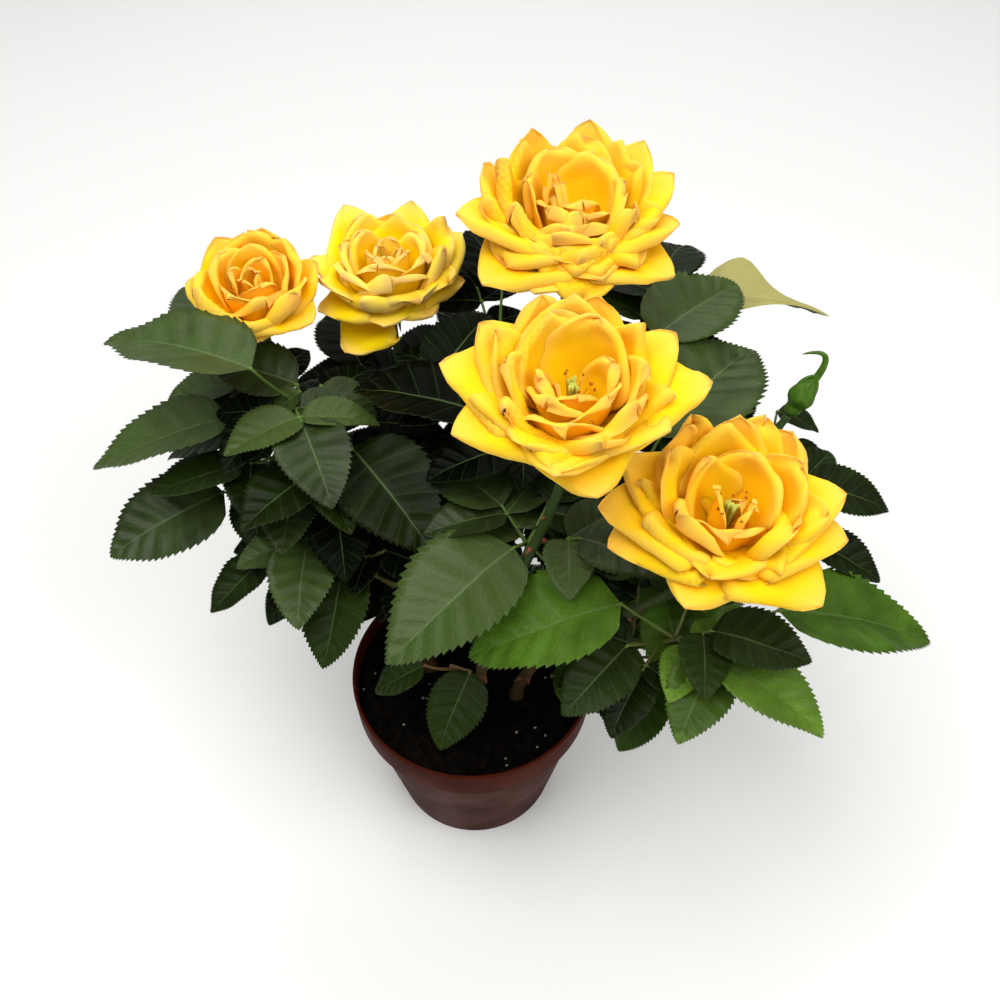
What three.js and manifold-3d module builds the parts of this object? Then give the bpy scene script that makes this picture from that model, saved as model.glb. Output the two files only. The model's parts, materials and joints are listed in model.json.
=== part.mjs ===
// A miniature rose in a nursery pot. Canes rise from the soil and end in blooms or in a bud, side shoots
// on them carry pinnate leaves, and the pot is filled with soil. Millimetres, +Z up, origin under the
// middle of the pot.
import * as THREE from "three";
import { mergeVertices } from "three/addons/utils/BufferGeometryUtils.js";
import Module from "manifold-3d";

const wasm = await Module();
wasm.setup();

// ---- Driving dimensions ----
const CLEAR = 0.3; // air left between neighbouring solids

const POT = {
  rim: 52.5, // outer radius at the top
  height: 84,
  foot: 37, // outer radius at the bottom
  band: 16, // height of the wider band under the rim
  step: 3, // how far the wall steps in below the band
  wall: 1.5,
  floor: 2.5,
  sides: 32,
};
const DRAIN = { count: 6, ring: 24, radius: 4, sides: 8 };
const SOIL_LEVEL = POT.height - 8;
const GROUND = SOIL_LEVEL + CLEAR;

const CANE = { foot: 2.6, neck: 1.5, flare: 1.35, flareLength: 9, sides: 5, steps: 7 };
const SHOOT = { foot: 1.4, neck: 1, sides: 4, steps: 3 };
const RACHIS = { foot: 1.1, neck: 0.9, sides: 3 };

// A leaflet is a shallow six-sided pan; widths are shares of its half width at shares of its length.
const LEAFLET = {
  aspect: 0.33, // half width over length
  thick: 0.7,
  fold: 0.25, // rise of the margin over half width
  arch: 0.22, // how far the middle bows above a straight line from root to tip
  root: 0.15, // how far its root is sunk past the middle of the rachis
  stations: [[0.28, 0.96], [0.68, 0.76]],
};

// The side leaflets of a leaf: where on its rachis, their length over the end leaflet's, and their angle
// from it.
const PAIRS = [
  { at: 0.8, size: 0.8, spread: 66 },
  { at: 0.42, size: 0.62, spread: 78 },
];

// Filling leaves: tries at each place on a shoot, and the least and most of each size.
const FILL = {
  seed: 43,
  tries: 12,
  rise: [-4, 46],
  reach: [14, 32],
  blade: [32, 46],
  lowest: POT.height + 12,
};

// The outer petals of a bloom are one flared skirt. Its rim falls back between two tips: shares of the way
// from one tip to the next, and of the reach there.
const PETAL = { thick: 1.2, stations: [0.3, 0.7, 1], rim: [[0, 1], [0.36, 0.86], [0.64, 0.86]] };
const HIP = { radius: 4.2, height: 9 }; // the swelling under a bloom that its petals stand in

const deg = Math.PI / 180;

// Blooms: where the hip's foot is, the lean of the axis [degrees, azimuth], the heart of packed inner
// petals [radius, height, depth of its hollow], and the outer petals [azimuth, reach, height of the tip].
const BLOOMS = {
  bloom_left: {
    foot: [-82, 79, 206], lean: [4, -100], heart: [17, 32, 5],
    petals: [[128, 28, 30], [167, 29, 20], [-150, 23, 18], [-85, 21, 14], [-30, 27, 17], [25, 26, 26],
      [85, 22, 34]],
  },
  bloom_left_back: {
    foot: [-32, 92, 203], lean: [4, 90], heart: [19, 34, 6],
    petals: [[76, 33, 36], [42, 38, 25], [10, 30, 14], [-42, 24, 12], [-92, 24, 12], [-134, 26, -4],
      [-160, 30, 10],
      [172, 32, 25], [123, 37, 35]],
  },
  bloom_front: {
    foot: [33, -20, 242], lean: [6, -90], heart: [21, 36, 16],
    petals: [[163, 41, 22], [-161, 37, 18], [-101, 31, 22], [-78, 31, 12], [5, 41, 22], [-30, 31, 24],
      [30, 36, 28],
      [72, 25, 38], [110, 25, 38], [145, 33, 32]],
  },
  bloom_right: {
    foot: [82, -34, 206], lean: [6, -80], heart: [20, 36, 18],
    petals: [[6, 36, 26], [-12, 37, 18], [-46, 38, 12], [-118, 31, 10], [-167, 38, 14], [177, 40, 20],
      [154, 36, 28],
      [122, 25, 38], [84, 22, 42], [45, 27, 38]],
  },
  bloom_top: {
    foot: [37, 74, 238], lean: [3, 90], heart: [21, 40, 12],
    petals: [[-171, 41, 28], [160, 33, 38], [122, 26, 46], [76, 32, 45], [45, 40, 38], [17, 39, 34],
      [-6, 39, 22],
      [-30, 42, 12], [-72, 32, 16], [-112, 35, 12], [-138, 42, 13]],
  },
};
const BUD = { foot: [122, 40, 198], lean: [24, 20], radius: 5.4, length: 17, tail: 13 };

// Canes: where each leaves the soil, and what it carries.
const CANES = {
  cane_left: { foot: [-19, 5], carries: "bloom_left" },
  cane_left_back: { foot: [-11, 19], carries: "bloom_left_back" },
  cane_front: { foot: [2, -14], carries: "bloom_front" },
  cane_right: { foot: [19, -9], carries: "bloom_right" },
  cane_top: { foot: [9, 17], carries: "bloom_top" },
  cane_bud: { foot: [23, 9], carries: "bud" },
};

// Foliage: the cane and the share of its length that the shoot leaves from, the shoot's tip, how far from
// that tip the mass may reach, how many filling leaves it has, and its outer leaves. An outer leaf: the
// share of the shoot it leaves from, where its end leaflet starts, that leaflet's azimuth, dip and length,
// and the pairs beside it.
const FOLIAGE = {
  foliage_left_high: {
    cane: "cane_left", at: 0.7, tip: [-68, 46, 200], space: 62, fill: 1,
    leaves: [[1, [-76, 32, 227], 162, 3, 61, 0], [0.9, [-92, 66, 206], 127, -6, 46, 0],
      [0.8, [-66, 52, 202], 163, -4, 38, 0],
      [0.7, [-64, 46, 204], -148, 34, 24, 0], [0.6, [-58, 55, 199], -25, 20, 26, 0]],
  },
  foliage_left: {
    cane: "cane_left", at: 0.56, tip: [-76, 44, 184], space: 60, fill: 3,
    leaves: [[1, [-92, 42, 194], -158, 8, 54, 0], [0.8, [-91, 48, 180], -166, 14, 32, 0],
      [0.7, [-93, 70, 188], -173, 15, 34, 0],
      [0.5, [-72, 46, 174], -106, 40, 20, 0]],
  },
  foliage_left_low: {
    cane: "cane_left", at: 0.42, tip: [-76, 30, 158], space: 58, fill: 3,
    leaves: [[1, [-98, 30, 165], -150, 13, 50, 0], [0.95, [-90, 38, 158], -73, 22, 28, 0]],
  },
  foliage_front_left: {
    cane: "cane_left_back", at: 0.62, tip: [-44, 34, 184], space: 58, fill: 3,
    leaves: [[1, [-44, 28, 192], -52, 15, 54, 0], [0.9, [-52, 24, 172], -80, 20, 38, 0],
      [0.8, [-48, 28, 191], -167, 16, 28, 0]],
  },
  foliage_front_left_low: {
    cane: "cane_front", at: 0.3, tip: [-46, 10, 146], space: 56, fill: 3,
    leaves: [[1, [-49, 6, 150], -101, 28, 42, 0], [0.9, [-62, 13, 141], -142, 24, 26, 0],
      [0.8, [-57, 18, 162], -176, 15, 29, 0],
      [0.95, [-68, 10, 136], -131, 30, 24, 0]],
  },
  foliage_middle: {
    cane: "cane_top", at: 0.62, tip: [4, 34, 196], space: 60, fill: 3,
    leaves: [[1, [8, 30, 206], 163, 1, 54, 0], [0.8, [16, 21, 199], -155, 6, 34, 0],
      [0.9, [-12, 50, 206], 60, -7, 40, 0]],
  },
  foliage_front: {
    cane: "cane_front", at: 0.62, tip: [22, -8, 180], space: 60, fill: 3,
    leaves: [[1, [17, -16, 186], -138, 14, 60, 0], [0.8, [20, -6, 180], 146, 4, 38, 0],
      [0.7, [27, 0, 172], -21, 12, 36, 0],
      [0.85, [32, 10, 185], -49, 22, 38, 0]],
  },
  foliage_front_right: {
    cane: "cane_right", at: 0.56, tip: [75, -36, 159], space: 60, fill: 3,
    leaves: [[1, [53, -39, 184], -167, 15, 55, 0], [0.7, [73, -18, 158], -80, 22, 37, 0],
      [0.97, [112, -28, 165], -6, 11, 58, 0],
      [0.9, [106, -25, 156], -80, 25, 34, 0]],
  },
  foliage_right: {
    cane: "cane_bud", at: 0.6, tip: [112, 18, 170], space: 52, fill: 2,
    leaves: [[1, [130, 4, 166], -28, 16, 30, 0], [0.9, [126, 42, 182], -57, 26, 24, 0],
      [0.95, [121, 50, 190], -25, 14, 18, 0]],
  },
  foliage_right_high: {
    cane: "cane_bud", at: 0.66, tip: [66, 18, 194], space: 66, fill: 2,
    leaves: [[1, [70, 20, 205], 50, 0, 65, 0]],
  },
  foliage_back_right: {
    cane: "cane_top", at: 0.74, tip: [66, 74, 202], space: 70, fill: 2,
    leaves: [[1, [72, 68, 212], 43, 0, 52, 0], [0.9, [87, 112, 200], -19, -4, 64, 0]],
  },
  foliage_back: {
    cane: "cane_top", at: 0.6, tip: [12, 86, 200], space: 60, fill: 4,
    leaves: [[1, [13, 99, 214], 114, -6, 38, 0]],
  },
  foliage_back_left: {
    cane: "cane_left_back", at: 0.7, tip: [-44, 62, 182], space: 68, fill: 4,
    leaves: [],
  },
  foliage_low_front: {
    cane: "cane_front", at: 0.14, tip: [-8, -17, 112], space: 46, fill: 1,
    leaves: [[0.8, [-18, -19, 115], -164, 26, 24, 0], [1, [0, -19, 111], -116, 36, 34, 0]],
  },
  foliage_low_right: {
    cane: "cane_right", at: 0.3, tip: [52, -22, 126], space: 60, fill: 3,
    leaves: [[0.6, [32, -30, 125], -10, 13, 36, 0], [1, [72, -40, 133], -132, 37, 29, 0],
      [0.9, [84, -24, 129], -47, 38, 18, 0]],
  },
  foliage_low_back: { cane: "cane_top", at: 0.36, tip: [30, 62, 146], space: 70, fill: 4, leaves: [] },
  foliage_low_left: {
    cane: "cane_left_back", at: 0.36, tip: [-40, 54, 142], space: 66, fill: 3,
    leaves: [],
  },
};

// ---- Solids ----

// A closed BufferGeometry as a solid.
function solidOf(geometry) {
  const bare = geometry.clone();
  bare.deleteAttribute("normal");
  bare.deleteAttribute("uv");
  const merged = mergeVertices(bare, 1e-4);
  const corners = merged.index.array;
  const kept = [];
  for (let i = 0; i < corners.length; i += 3) {
    const [a, b, c] = [corners[i], corners[i + 1], corners[i + 2]];
    if (a !== b && b !== c && c !== a) kept.push(a, b, c);
  }
  return new wasm.Manifold(
    new wasm.Mesh({
      numProp: 3,
      vertProperties: new Float32Array(merged.attributes.position.array),
      triVerts: new Uint32Array(kept),
    }),
  );
}

// The main body of a solid, with sealed hollows filled and loose scraps dropped.
function mainBody(solid) {
  const bodies = solid.decompose();
  return bodies.reduce((best, body) => (body.volume() > best.volume() ? body : best));
}

function geometryOf(solid) {
  const mesh = solid.getMesh();
  return new THREE.BufferGeometry()
    .setAttribute("position", new THREE.BufferAttribute(new Float32Array(mesh.vertProperties), 3))
    .setIndex([...mesh.triVerts]);
}

// A closed ring of skin between two grids of Vector3, front and back, whose last column meets the first.
function ringSkin(front, back) {
  const rows = front.length;
  const columns = front[0].length;
  const index = [];
  const id = (side, r, c) => (side * rows + r) * columns + (c % columns);
  const quad = (a, b, c, d) => index.push(a, b, c, a, c, d);
  for (let c = 0; c < columns; c++) {
    for (let r = 0; r + 1 < rows; r++) {
      quad(id(0, r, c), id(0, r + 1, c), id(0, r + 1, c + 1), id(0, r, c + 1));
      quad(id(1, r, c), id(1, r, c + 1), id(1, r + 1, c + 1), id(1, r + 1, c));
    }
    quad(id(0, 0, c + 1), id(1, 0, c + 1), id(1, 0, c), id(0, 0, c));
    quad(id(0, rows - 1, c), id(1, rows - 1, c), id(1, rows - 1, c + 1), id(0, rows - 1, c + 1));
  }
  const points = [...front.flat(), ...back.flat()];
  return rightWayOut(new THREE.BufferGeometry().setFromPoints(points).setIndex(index));
}

// A closed geometry as a solid, turned inside out if its faces point inwards.
function rightWayOut(geometry) {
  const solid = solidOf(geometry);
  return solid.volume() > 0 ? solid : solidOf(geometry.setIndex([...geometry.index.array].reverse()));
}

// A limb along a curve, whose radius at share t of its length is radius(t), with flat ends.
function limb(curve, radius, sides, steps) {
  const frames = curve.computeFrenetFrames(steps, false);
  const rings = [];
  for (let i = 0; i <= steps; i++) {
    const middle = curve.getPointAt(i / steps);
    const ring = [];
    for (let k = 0; k < sides; k++) {
      const angle = (2 * Math.PI * k) / sides;
      const across = frames.normals[i].clone().multiplyScalar(Math.cos(angle));
      across.addScaledVector(frames.binormals[i], Math.sin(angle));
      ring.push(middle.clone().addScaledVector(across, radius(i / steps)));
    }
    rings.push(ring);
  }
  const points = [...rings.flat(), curve.getPointAt(0), curve.getPointAt(1)];
  const foot = points.length - 2;
  const index = [];
  for (let k = 0; k < sides; k++) {
    const next = (k + 1) % sides;
    for (let i = 0; i < steps; i++) {
      const [a, b] = [i * sides + k, i * sides + next];
      index.push(a, b, b + sides, a, b + sides, a + sides);
    }
    index.push(foot, next, k, foot + 1, steps * sides + k, steps * sides + next);
  }
  return solidOf(new THREE.BufferGeometry().setFromPoints(points).setIndex(index));
}

// A solid of revolution about +Z. Its profile, [radius, height] points, starts and ends on the axis.
function turned(profile, sides) {
  const lathe = new THREE.LatheGeometry(profile.map(([r, z]) => new THREE.Vector2(r, z)), sides);
  return rightWayOut(lathe.rotateX(90 * deg));
}

const vector = (p) => new THREE.Vector3(...p);
const mix = (a, b, t) => a + (b - a) * t;
const smooth = (t) => t * t * (3 - 2 * t);
const heading = (azimuth, rise) =>
  new THREE.Vector3(
    Math.cos(azimuth * deg) * Math.cos(rise * deg),
    Math.sin(azimuth * deg) * Math.cos(rise * deg),
    Math.sin(rise * deg),
  );

// The turn that takes +Z to a direction leaning lean degrees from upright towards an azimuth.
function leaning([lean, azimuth]) {
  const axis = new THREE.Vector3(-Math.sin(azimuth * deg), Math.cos(azimuth * deg), 0);
  return new THREE.Quaternion().setFromAxisAngle(axis, lean * deg);
}

function placed(solid, turn, at) {
  const matrix = new THREE.Matrix4().compose(vector(at), turn, new THREE.Vector3(1, 1, 1));
  return solid.transform(matrix.toArray());
}

// A seeded stream of numbers from 0 to 1.
function stream(seed) {
  let state = seed | 0;
  return () => {
    state = (state + 0x6d2b79f5) | 0;
    let t = Math.imul(state ^ (state >>> 15), 1 | state);
    t = (t + Math.imul(t ^ (t >>> 7), 61 | t)) ^ t;
    return ((t ^ (t >>> 14)) >>> 0) / 4294967296;
  };
}

// ---- Pot and soil ----

// The inner wall, as [radius, height] points from the floor up, drawn in by gap all round.
function innerWall(gap) {
  const { rim, height, foot, band, step, wall, floor } = POT;
  const inset = wall + gap;
  return [
    [foot - inset, floor + gap],
    [rim - step - inset, height - band - inset],
    [rim - inset - 0.6, height - band + (gap ? 2 : 0)],
    [rim - inset, height],
  ];
}

function pot() {
  const { rim, height, foot, band, step, sides } = POT;
  const [low, under, over, top] = innerWall(0);
  const below = height - band;
  const outside = [[0, 0], [foot, 0], [rim - step, below], [rim - 0.6, below], [rim, height]];
  const upright = new THREE.Quaternion().setFromAxisAngle(new THREE.Vector3(1, 0, 0), 90 * deg);
  let body = turned([...outside, top, over, under, low, [0, low[1]]], sides);
  for (let i = 0; i < DRAIN.count; i++) {
    const { radius, sides: around } = DRAIN;
    const bore = solidOf(new THREE.CylinderGeometry(radius, radius, 4 * POT.floor, around));
    const angle = ((i + 0.5) / DRAIN.count) * 360;
    const at = heading(angle, 0).multiplyScalar(DRAIN.ring).toArray();
    body = body.subtract(placed(bore, upright, at));
  }
  return body;
}

function soil() {
  const [low, under, over, top] = innerWall(CLEAR);
  const share = (SOIL_LEVEL - over[1]) / (top[1] - over[1]);
  const edge = mix(over[0], top[0], share);
  return turned([[0, low[1]], low, under, over, [edge, SOIL_LEVEL], [0, SOIL_LEVEL]], POT.sides);
}

// ---- Blooms ----

// The middle line of a petal, [radius, height] from the hip to the tip. A low petal bends back over, and a
// steep one cups up.
function petalLine(reach, height) {
  const from = new THREE.Vector2(2, HIP.height - 3);
  const steep = Math.atan2(height - from.y, reach) / deg;
  const cup = THREE.MathUtils.clamp((steep - 20) / 36, 0, 1);
  const knee = new THREE.Vector2(mix(0.5, 0.95, cup) * reach, mix(height + 9, 0.35 * height, cup));
  return new THREE.QuadraticBezierCurve(from, knee, new THREE.Vector2(reach, height));
}

// The outer petals of a bloom as one skirt round its heart, with a point at each petal's tip.
function skirt(petals) {
  const order = [...petals].sort((a, b) => a[0] - b[0]);
  const columns = order.flatMap(([azimuth, reach, height], i) => {
    const [next, nextReach, nextHeight] = order[(i + 1) % order.length];
    const gap = (next - azimuth + 360) % 360;
    return PETAL.rim.map(([share, scallop]) => ({
      way: azimuth + share * gap,
      line: petalLine(mix(reach, nextReach, share) * scallop, mix(height, nextHeight, share)),
    }));
  });
  const grid = (lift) =>
    PETAL.stations.map((u) =>
      columns.map(({ way, line }) => {
        const middle = line.getPoint(u);
        const slope = line.getTangent(u);
        const point = heading(way, 0).multiplyScalar(middle.x + lift * slope.y);
        return point.setZ(middle.y - lift * slope.x);
      }),
    );
  return ringSkin(grid(PETAL.thick / 2), grid(-PETAL.thick / 2));
}

// A bloom: the hip, a hollowed heart that stands for the packed inner petals, and the skirt of outer
// petals.
function bloom({ foot, lean, heart, petals }) {
  const [radius, height, hollow] = heart;
  const sides = 9;
  const core = turned(
    [[0, 0], [HIP.radius * 0.6, 0], [HIP.radius, HIP.height * 0.5], [HIP.radius * 0.9, HIP.height],
      [0.8 * radius, 0.45 * height], [radius, 0.8 * height], [0.94 * radius, height],
      [0.4 * radius, height - hollow], [0, height - hollow]],
    sides,
  );
  return placed(mainBody(core.add(skirt(petals))), leaning(lean), foot);
}

function bud() {
  const { radius, length, tail } = BUD;
  const body = turned(
    [[0, 0], [radius * 0.45, 0], [radius * 0.6, 3], [radius * 0.5, 5], [radius, 0.5 * length],
      [radius * 0.75, 0.78 * length], [radius * 0.2, length], [0, length]],
    8,
  );
  const sepal = limb(
    new THREE.QuadraticBezierCurve3(
      new THREE.Vector3(0, 0, 0.7 * length),
      new THREE.Vector3(3, 0, length + 1.3 * tail),
      new THREE.Vector3(-9, 2, length + 0.5 * tail),
    ),
    (t) => mix(1.3, 0.5, t), 4, 4,
  );
  return placed(mainBody(body.add(sepal)), leaning(BUD.lean), BUD.foot);
}

// ---- Canes ----

// A cane's line, from the soil to the foot of what it carries, which it meets end on.
function caneCurve({ foot, carries }) {
  const load = carries === "bud" ? BUD : BLOOMS[carries];
  const axis = new THREE.Vector3(0, 0, 1).applyQuaternion(leaning(load.lean));
  const start = new THREE.Vector3(foot[0], foot[1], GROUND);
  const end = vector(load.foot).addScaledVector(axis, -CLEAR);
  const rise = end.z - start.z;
  const lift = new THREE.Vector3(0.1 * (end.x - start.x), 0.1 * (end.y - start.y), 0.45 * rise);
  const below = end.clone().addScaledVector(axis, -0.3 * rise);
  return new THREE.CubicBezierCurve3(start, start.clone().add(lift), below, end);
}

const caneRadius = (t) => mix(CANE.foot, CANE.neck, t);

function cane(curve) {
  const flare = CANE.flareLength / curve.getLength();
  const radius = (t) => caneRadius(t) * mix(CANE.flare, 1, Math.min(1, t / flare));
  const body = limb(curve, radius, CANE.sides, CANE.steps);
  return body.trimByPlane([0, 0, 1], GROUND);
}

// ---- Leaves ----

// A leaflet's blade. Its root is at a point, its midrib starts along a direction, and its face looks along
// up.
function leaflet(root, along, up, length, padding = 0) {
  const across = new THREE.Vector3().crossVectors(up, along).normalize();
  const face = new THREE.Vector3().crossVectors(along, across).normalize();
  const half = length * LEAFLET.aspect;
  const place = (u, wide, rise) => {
    const bow = LEAFLET.fold * Math.abs(wide) * half + LEAFLET.arch * length * u * (1 - u);
    return root.clone().addScaledVector(along, u * length).addScaledVector(across, wide * (half + padding))
      .addScaledVector(face, rise + bow);
  };
  const thick = LEAFLET.thick / 2 + padding;
  const [near, far] = LEAFLET.stations;
  const outline = [near, far].map(([u, w]) => place(u, w, 0));
  const back = [far, near].map(([u, w]) => place(u, -w, 0));
  const tip = place(1 + padding / length, 0, 0);
  const edge = [place(0, 0, thick), ...outline, tip, ...back, place(0, 0, -thick)];
  const points = [...edge, place(0.48, 0, thick), place(0.48, 0, -thick)];
  const [top, bottom, over, under] = [0, 6, 7, 8];
  const index = [];
  for (let k = 0; k < 6; k++) index.push(over, (k + 1) % 6, k);
  const low = [bottom, 1, 2, 3, 4, 5];
  for (let k = 0; k < 6; k++) index.push(under, low[k], low[(k + 1) % 6]);
  index.push(top, 1, bottom, top, bottom, 5);
  return rightWayOut(new THREE.BufferGeometry().setFromPoints(points).setIndex(index));
}

// The blades of a leaf, end leaflet first.
function bladesOf(line, azimuth, dip, length, pairs, random) {
  const level = () => heading(360 * random(), mix(74, 90, random()));
  const blades = [{ root: line.getPointAt(1), along: heading(azimuth, -dip), up: level(), length }];
  for (const { at, size, spread } of PAIRS.slice(0, pairs))
    for (const side of [1, -1]) {
      const tangent = line.getTangentAt(at);
      const way = Math.atan2(tangent.y, tangent.x) / deg + side * (spread + mix(-8, 8, random()));
      const along = heading(way, mix(2, -16, random()));
      const up = level();
      const long = length * size * mix(0.92, 1.06, random());
      blades.push({ root: line.getPointAt(at), along, up, length: long });
    }
  return blades;
}

// A shoot's line: square off its cane, starting at a distance from the cane's middle, then up to its tip.
function shootLine({ cane: name, at, tip }, distance) {
  const curve = curves[name];
  const core = curve.getPointAt(at);
  const axis = curve.getTangentAt(at);
  const end = vector(tip);
  const out = end.clone().sub(core);
  out.addScaledVector(axis, -out.dot(axis)).normalize();
  const start = core.clone().addScaledVector(out, distance);
  const knee = start.clone().addScaledVector(out, 0.45 * start.distanceTo(end));
  return new THREE.QuadraticBezierCurve3(start, knee, end);
}

const limbOfShoot = (line) => limb(line, (t) => mix(SHOOT.foot, SHOOT.neck, t), SHOOT.sides, SHOOT.steps);

// A shoot's line whose foot is seated 0.3 mm clear of the cane's bark.
function seatedLine(row) {
  const bark = placedPieces.find((piece) => piece.owner === row.cane).solid;
  const far = CANE.foot + 2;
  const gap = limbOfShoot(shootLine(row, far)).minGap(bark, far);
  return shootLine(row, far - gap + CLEAR);
}

const meets = (a, b) => [0, 1, 2].every((i) => a.min[i] <= b.max[i] && b.min[i] <= a.max[i]);

function touches(solid, others) {
  const box = solid.boundingBox();
  return others.some((other) => meets(box, other.box) && !solid.intersect(other.solid).isEmpty());
}

const limbOfRachis = (line, extra) =>
  limb(line, (t) => mix(RACHIS.foot, RACHIS.neck, t) + extra, RACHIS.sides, 1);

// Adds one leaf to a mass. A rachis or blade that would come within 0.3 mm of another solid is left out,
// and so is a blade whose far part would pass through the mass's own leaves, or whose tip would leave the
// mass's space.
function addLeaf(mass, line, blades, free) {
  const others = placedPieces.filter((piece) => piece.owner !== mass.name);
  const own = placedPieces.filter((piece) => piece.owner === mass.name && piece.blade);
  if (touches(limbOfRachis(line, CLEAR), others)) return false;
  if (free && touches(limbOfRachis(line, 0), own)) return false;
  const fitting = blades.map(({ root, along, up, length }) => {
    const sunk = root.clone().addScaledVector(along, -LEAFLET.root);
    const probe = leaflet(sunk.clone().addScaledVector(along, 0.12 * length), along, up, 0.88 * length);
    const tip = root.clone().addScaledVector(along, length);
    const far = tip.distanceTo(vector(mass.tip)) > mass.space;
    const outside = free && (far || tip.z < FILL.lowest);
    if (outside || touches(probe, own)) return null;
    if (touches(leaflet(sunk, along, up, length, CLEAR), others)) return null;
    return leaflet(sunk, along, up, length);
  });
  if (!fitting[0]) return false;
  keepPiece(mass.name, limbOfRachis(line, 0), false);
  for (const solid of fitting) {
    if (solid && !touchesNew(solid, fitting)) keepPiece(mass.name, solid, true);
  }
  return true;
}

// True where a blade passes through one that comes before it on the same leaf.
function touchesNew(solid, fitting) {
  const before = fitting.slice(0, fitting.indexOf(solid)).filter(Boolean);
  return before.some((other) => solid.intersect(other).volume() > 0.5);
}

function keepPiece(owner, solid, blade) {
  placedPieces.push({ owner, solid, blade, box: solid.boundingBox() });
}

function addOuterLeaves(mass) {
  mass.leaves.forEach(([share, joint, azimuth, dip, length, pairs], number) => {
    const random = stream(100 * mass.seed + number);
    const line = new THREE.LineCurve3(mass.line.getPointAt(share), vector(joint));
    if (!addLeaf(mass, line, bladesOf(line, azimuth, dip, length, pairs, random), false)) {
      skipped.push(`${mass.name} leaf ${number}`);
    }
  });
}

function addFillingLeaves(mass) {
  for (let k = 0; k < mass.fill; k++) {
    const random = stream(5000 * FILL.seed + 100 * mass.seed + k);
    const start = mass.line.getPointAt(mix(0.4, 1, (k + 1) / mass.fill));
    for (let t = 0; t < FILL.tries; t++) {
      const azimuth = 360 * random();
      const way = heading(azimuth, mix(...FILL.rise, random()));
      const reach = way.multiplyScalar(mix(...FILL.reach, random()));
      const line = new THREE.LineCurve3(start, start.clone().add(reach));
      const dip = mix(-4, 18, random());
      const blades = bladesOf(line, azimuth, dip, mix(...FILL.blade, random()), 2, random);
      if (addLeaf(mass, line, blades, true)) break;
      if (t === FILL.tries - 1) skipped.push(`${mass.name} fill ${k}`);
    }
  }
}

// ---- The whole plant ----

const FINISH = {
  pot: new THREE.MeshStandardMaterial({ color: "#6b3420", roughness: 0.5, metalness: 0 }),
  soil: new THREE.MeshStandardMaterial({ color: "#1c1510", roughness: 1, metalness: 0 }),
  stem: new THREE.MeshStandardMaterial({ color: "#4c6a2c", roughness: 0.6, metalness: 0 }),
  leaf: new THREE.MeshStandardMaterial({ color: "#37492a", roughness: 0.45, metalness: 0 }),
  petal: new THREE.MeshStandardMaterial({ color: "#fbcf2a", roughness: 0.6, metalness: 0 }),
};

const plant = new THREE.Group();
const placedPieces = [];
const skipped = [];

function show(name, solid, finish) {
  const mesh = new THREE.Mesh(geometryOf(solid), finish);
  mesh.name = name;
  plant.add(mesh);
}

function keep(name, solid, finish) {
  show(name, solid, finish);
  keepPiece(name, solid, false);
}

keep("pot", pot(), FINISH.pot);
keep("soil", soil(), FINISH.soil);
const curves = {};
for (const [name, row] of Object.entries(CANES)) {
  curves[name] = caneCurve(row);
  keep(name, cane(curves[name]), FINISH.stem);
}
for (const [name, row] of Object.entries(BLOOMS)) keep(name, bloom(row), FINISH.petal);
keep("bud", bud(), FINISH.stem);

const masses = Object.entries(FOLIAGE).map(([name, row], i) => {
  return { ...row, name, seed: i + 1, line: seatedLine(row) };
});
for (const mass of masses) {
  const shoot = limbOfShoot(mass.line);
  if (touches(shoot, placedPieces)) skipped.push(`${mass.name} shoot`);
  keepPiece(mass.name, shoot, false);
}
for (const mass of masses) addOuterLeaves(mass);
for (const mass of masses) addFillingLeaves(mass);
for (const mass of masses) {
  const own = placedPieces.filter((piece) => piece.owner === mass.name).map((piece) => piece.solid);
  show(mass.name, mainBody(wasm.Manifold.union(own)), FINISH.leaf);
}
plant.userData.skipped = skipped;

export default plant;
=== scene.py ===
import json
import math

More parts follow.
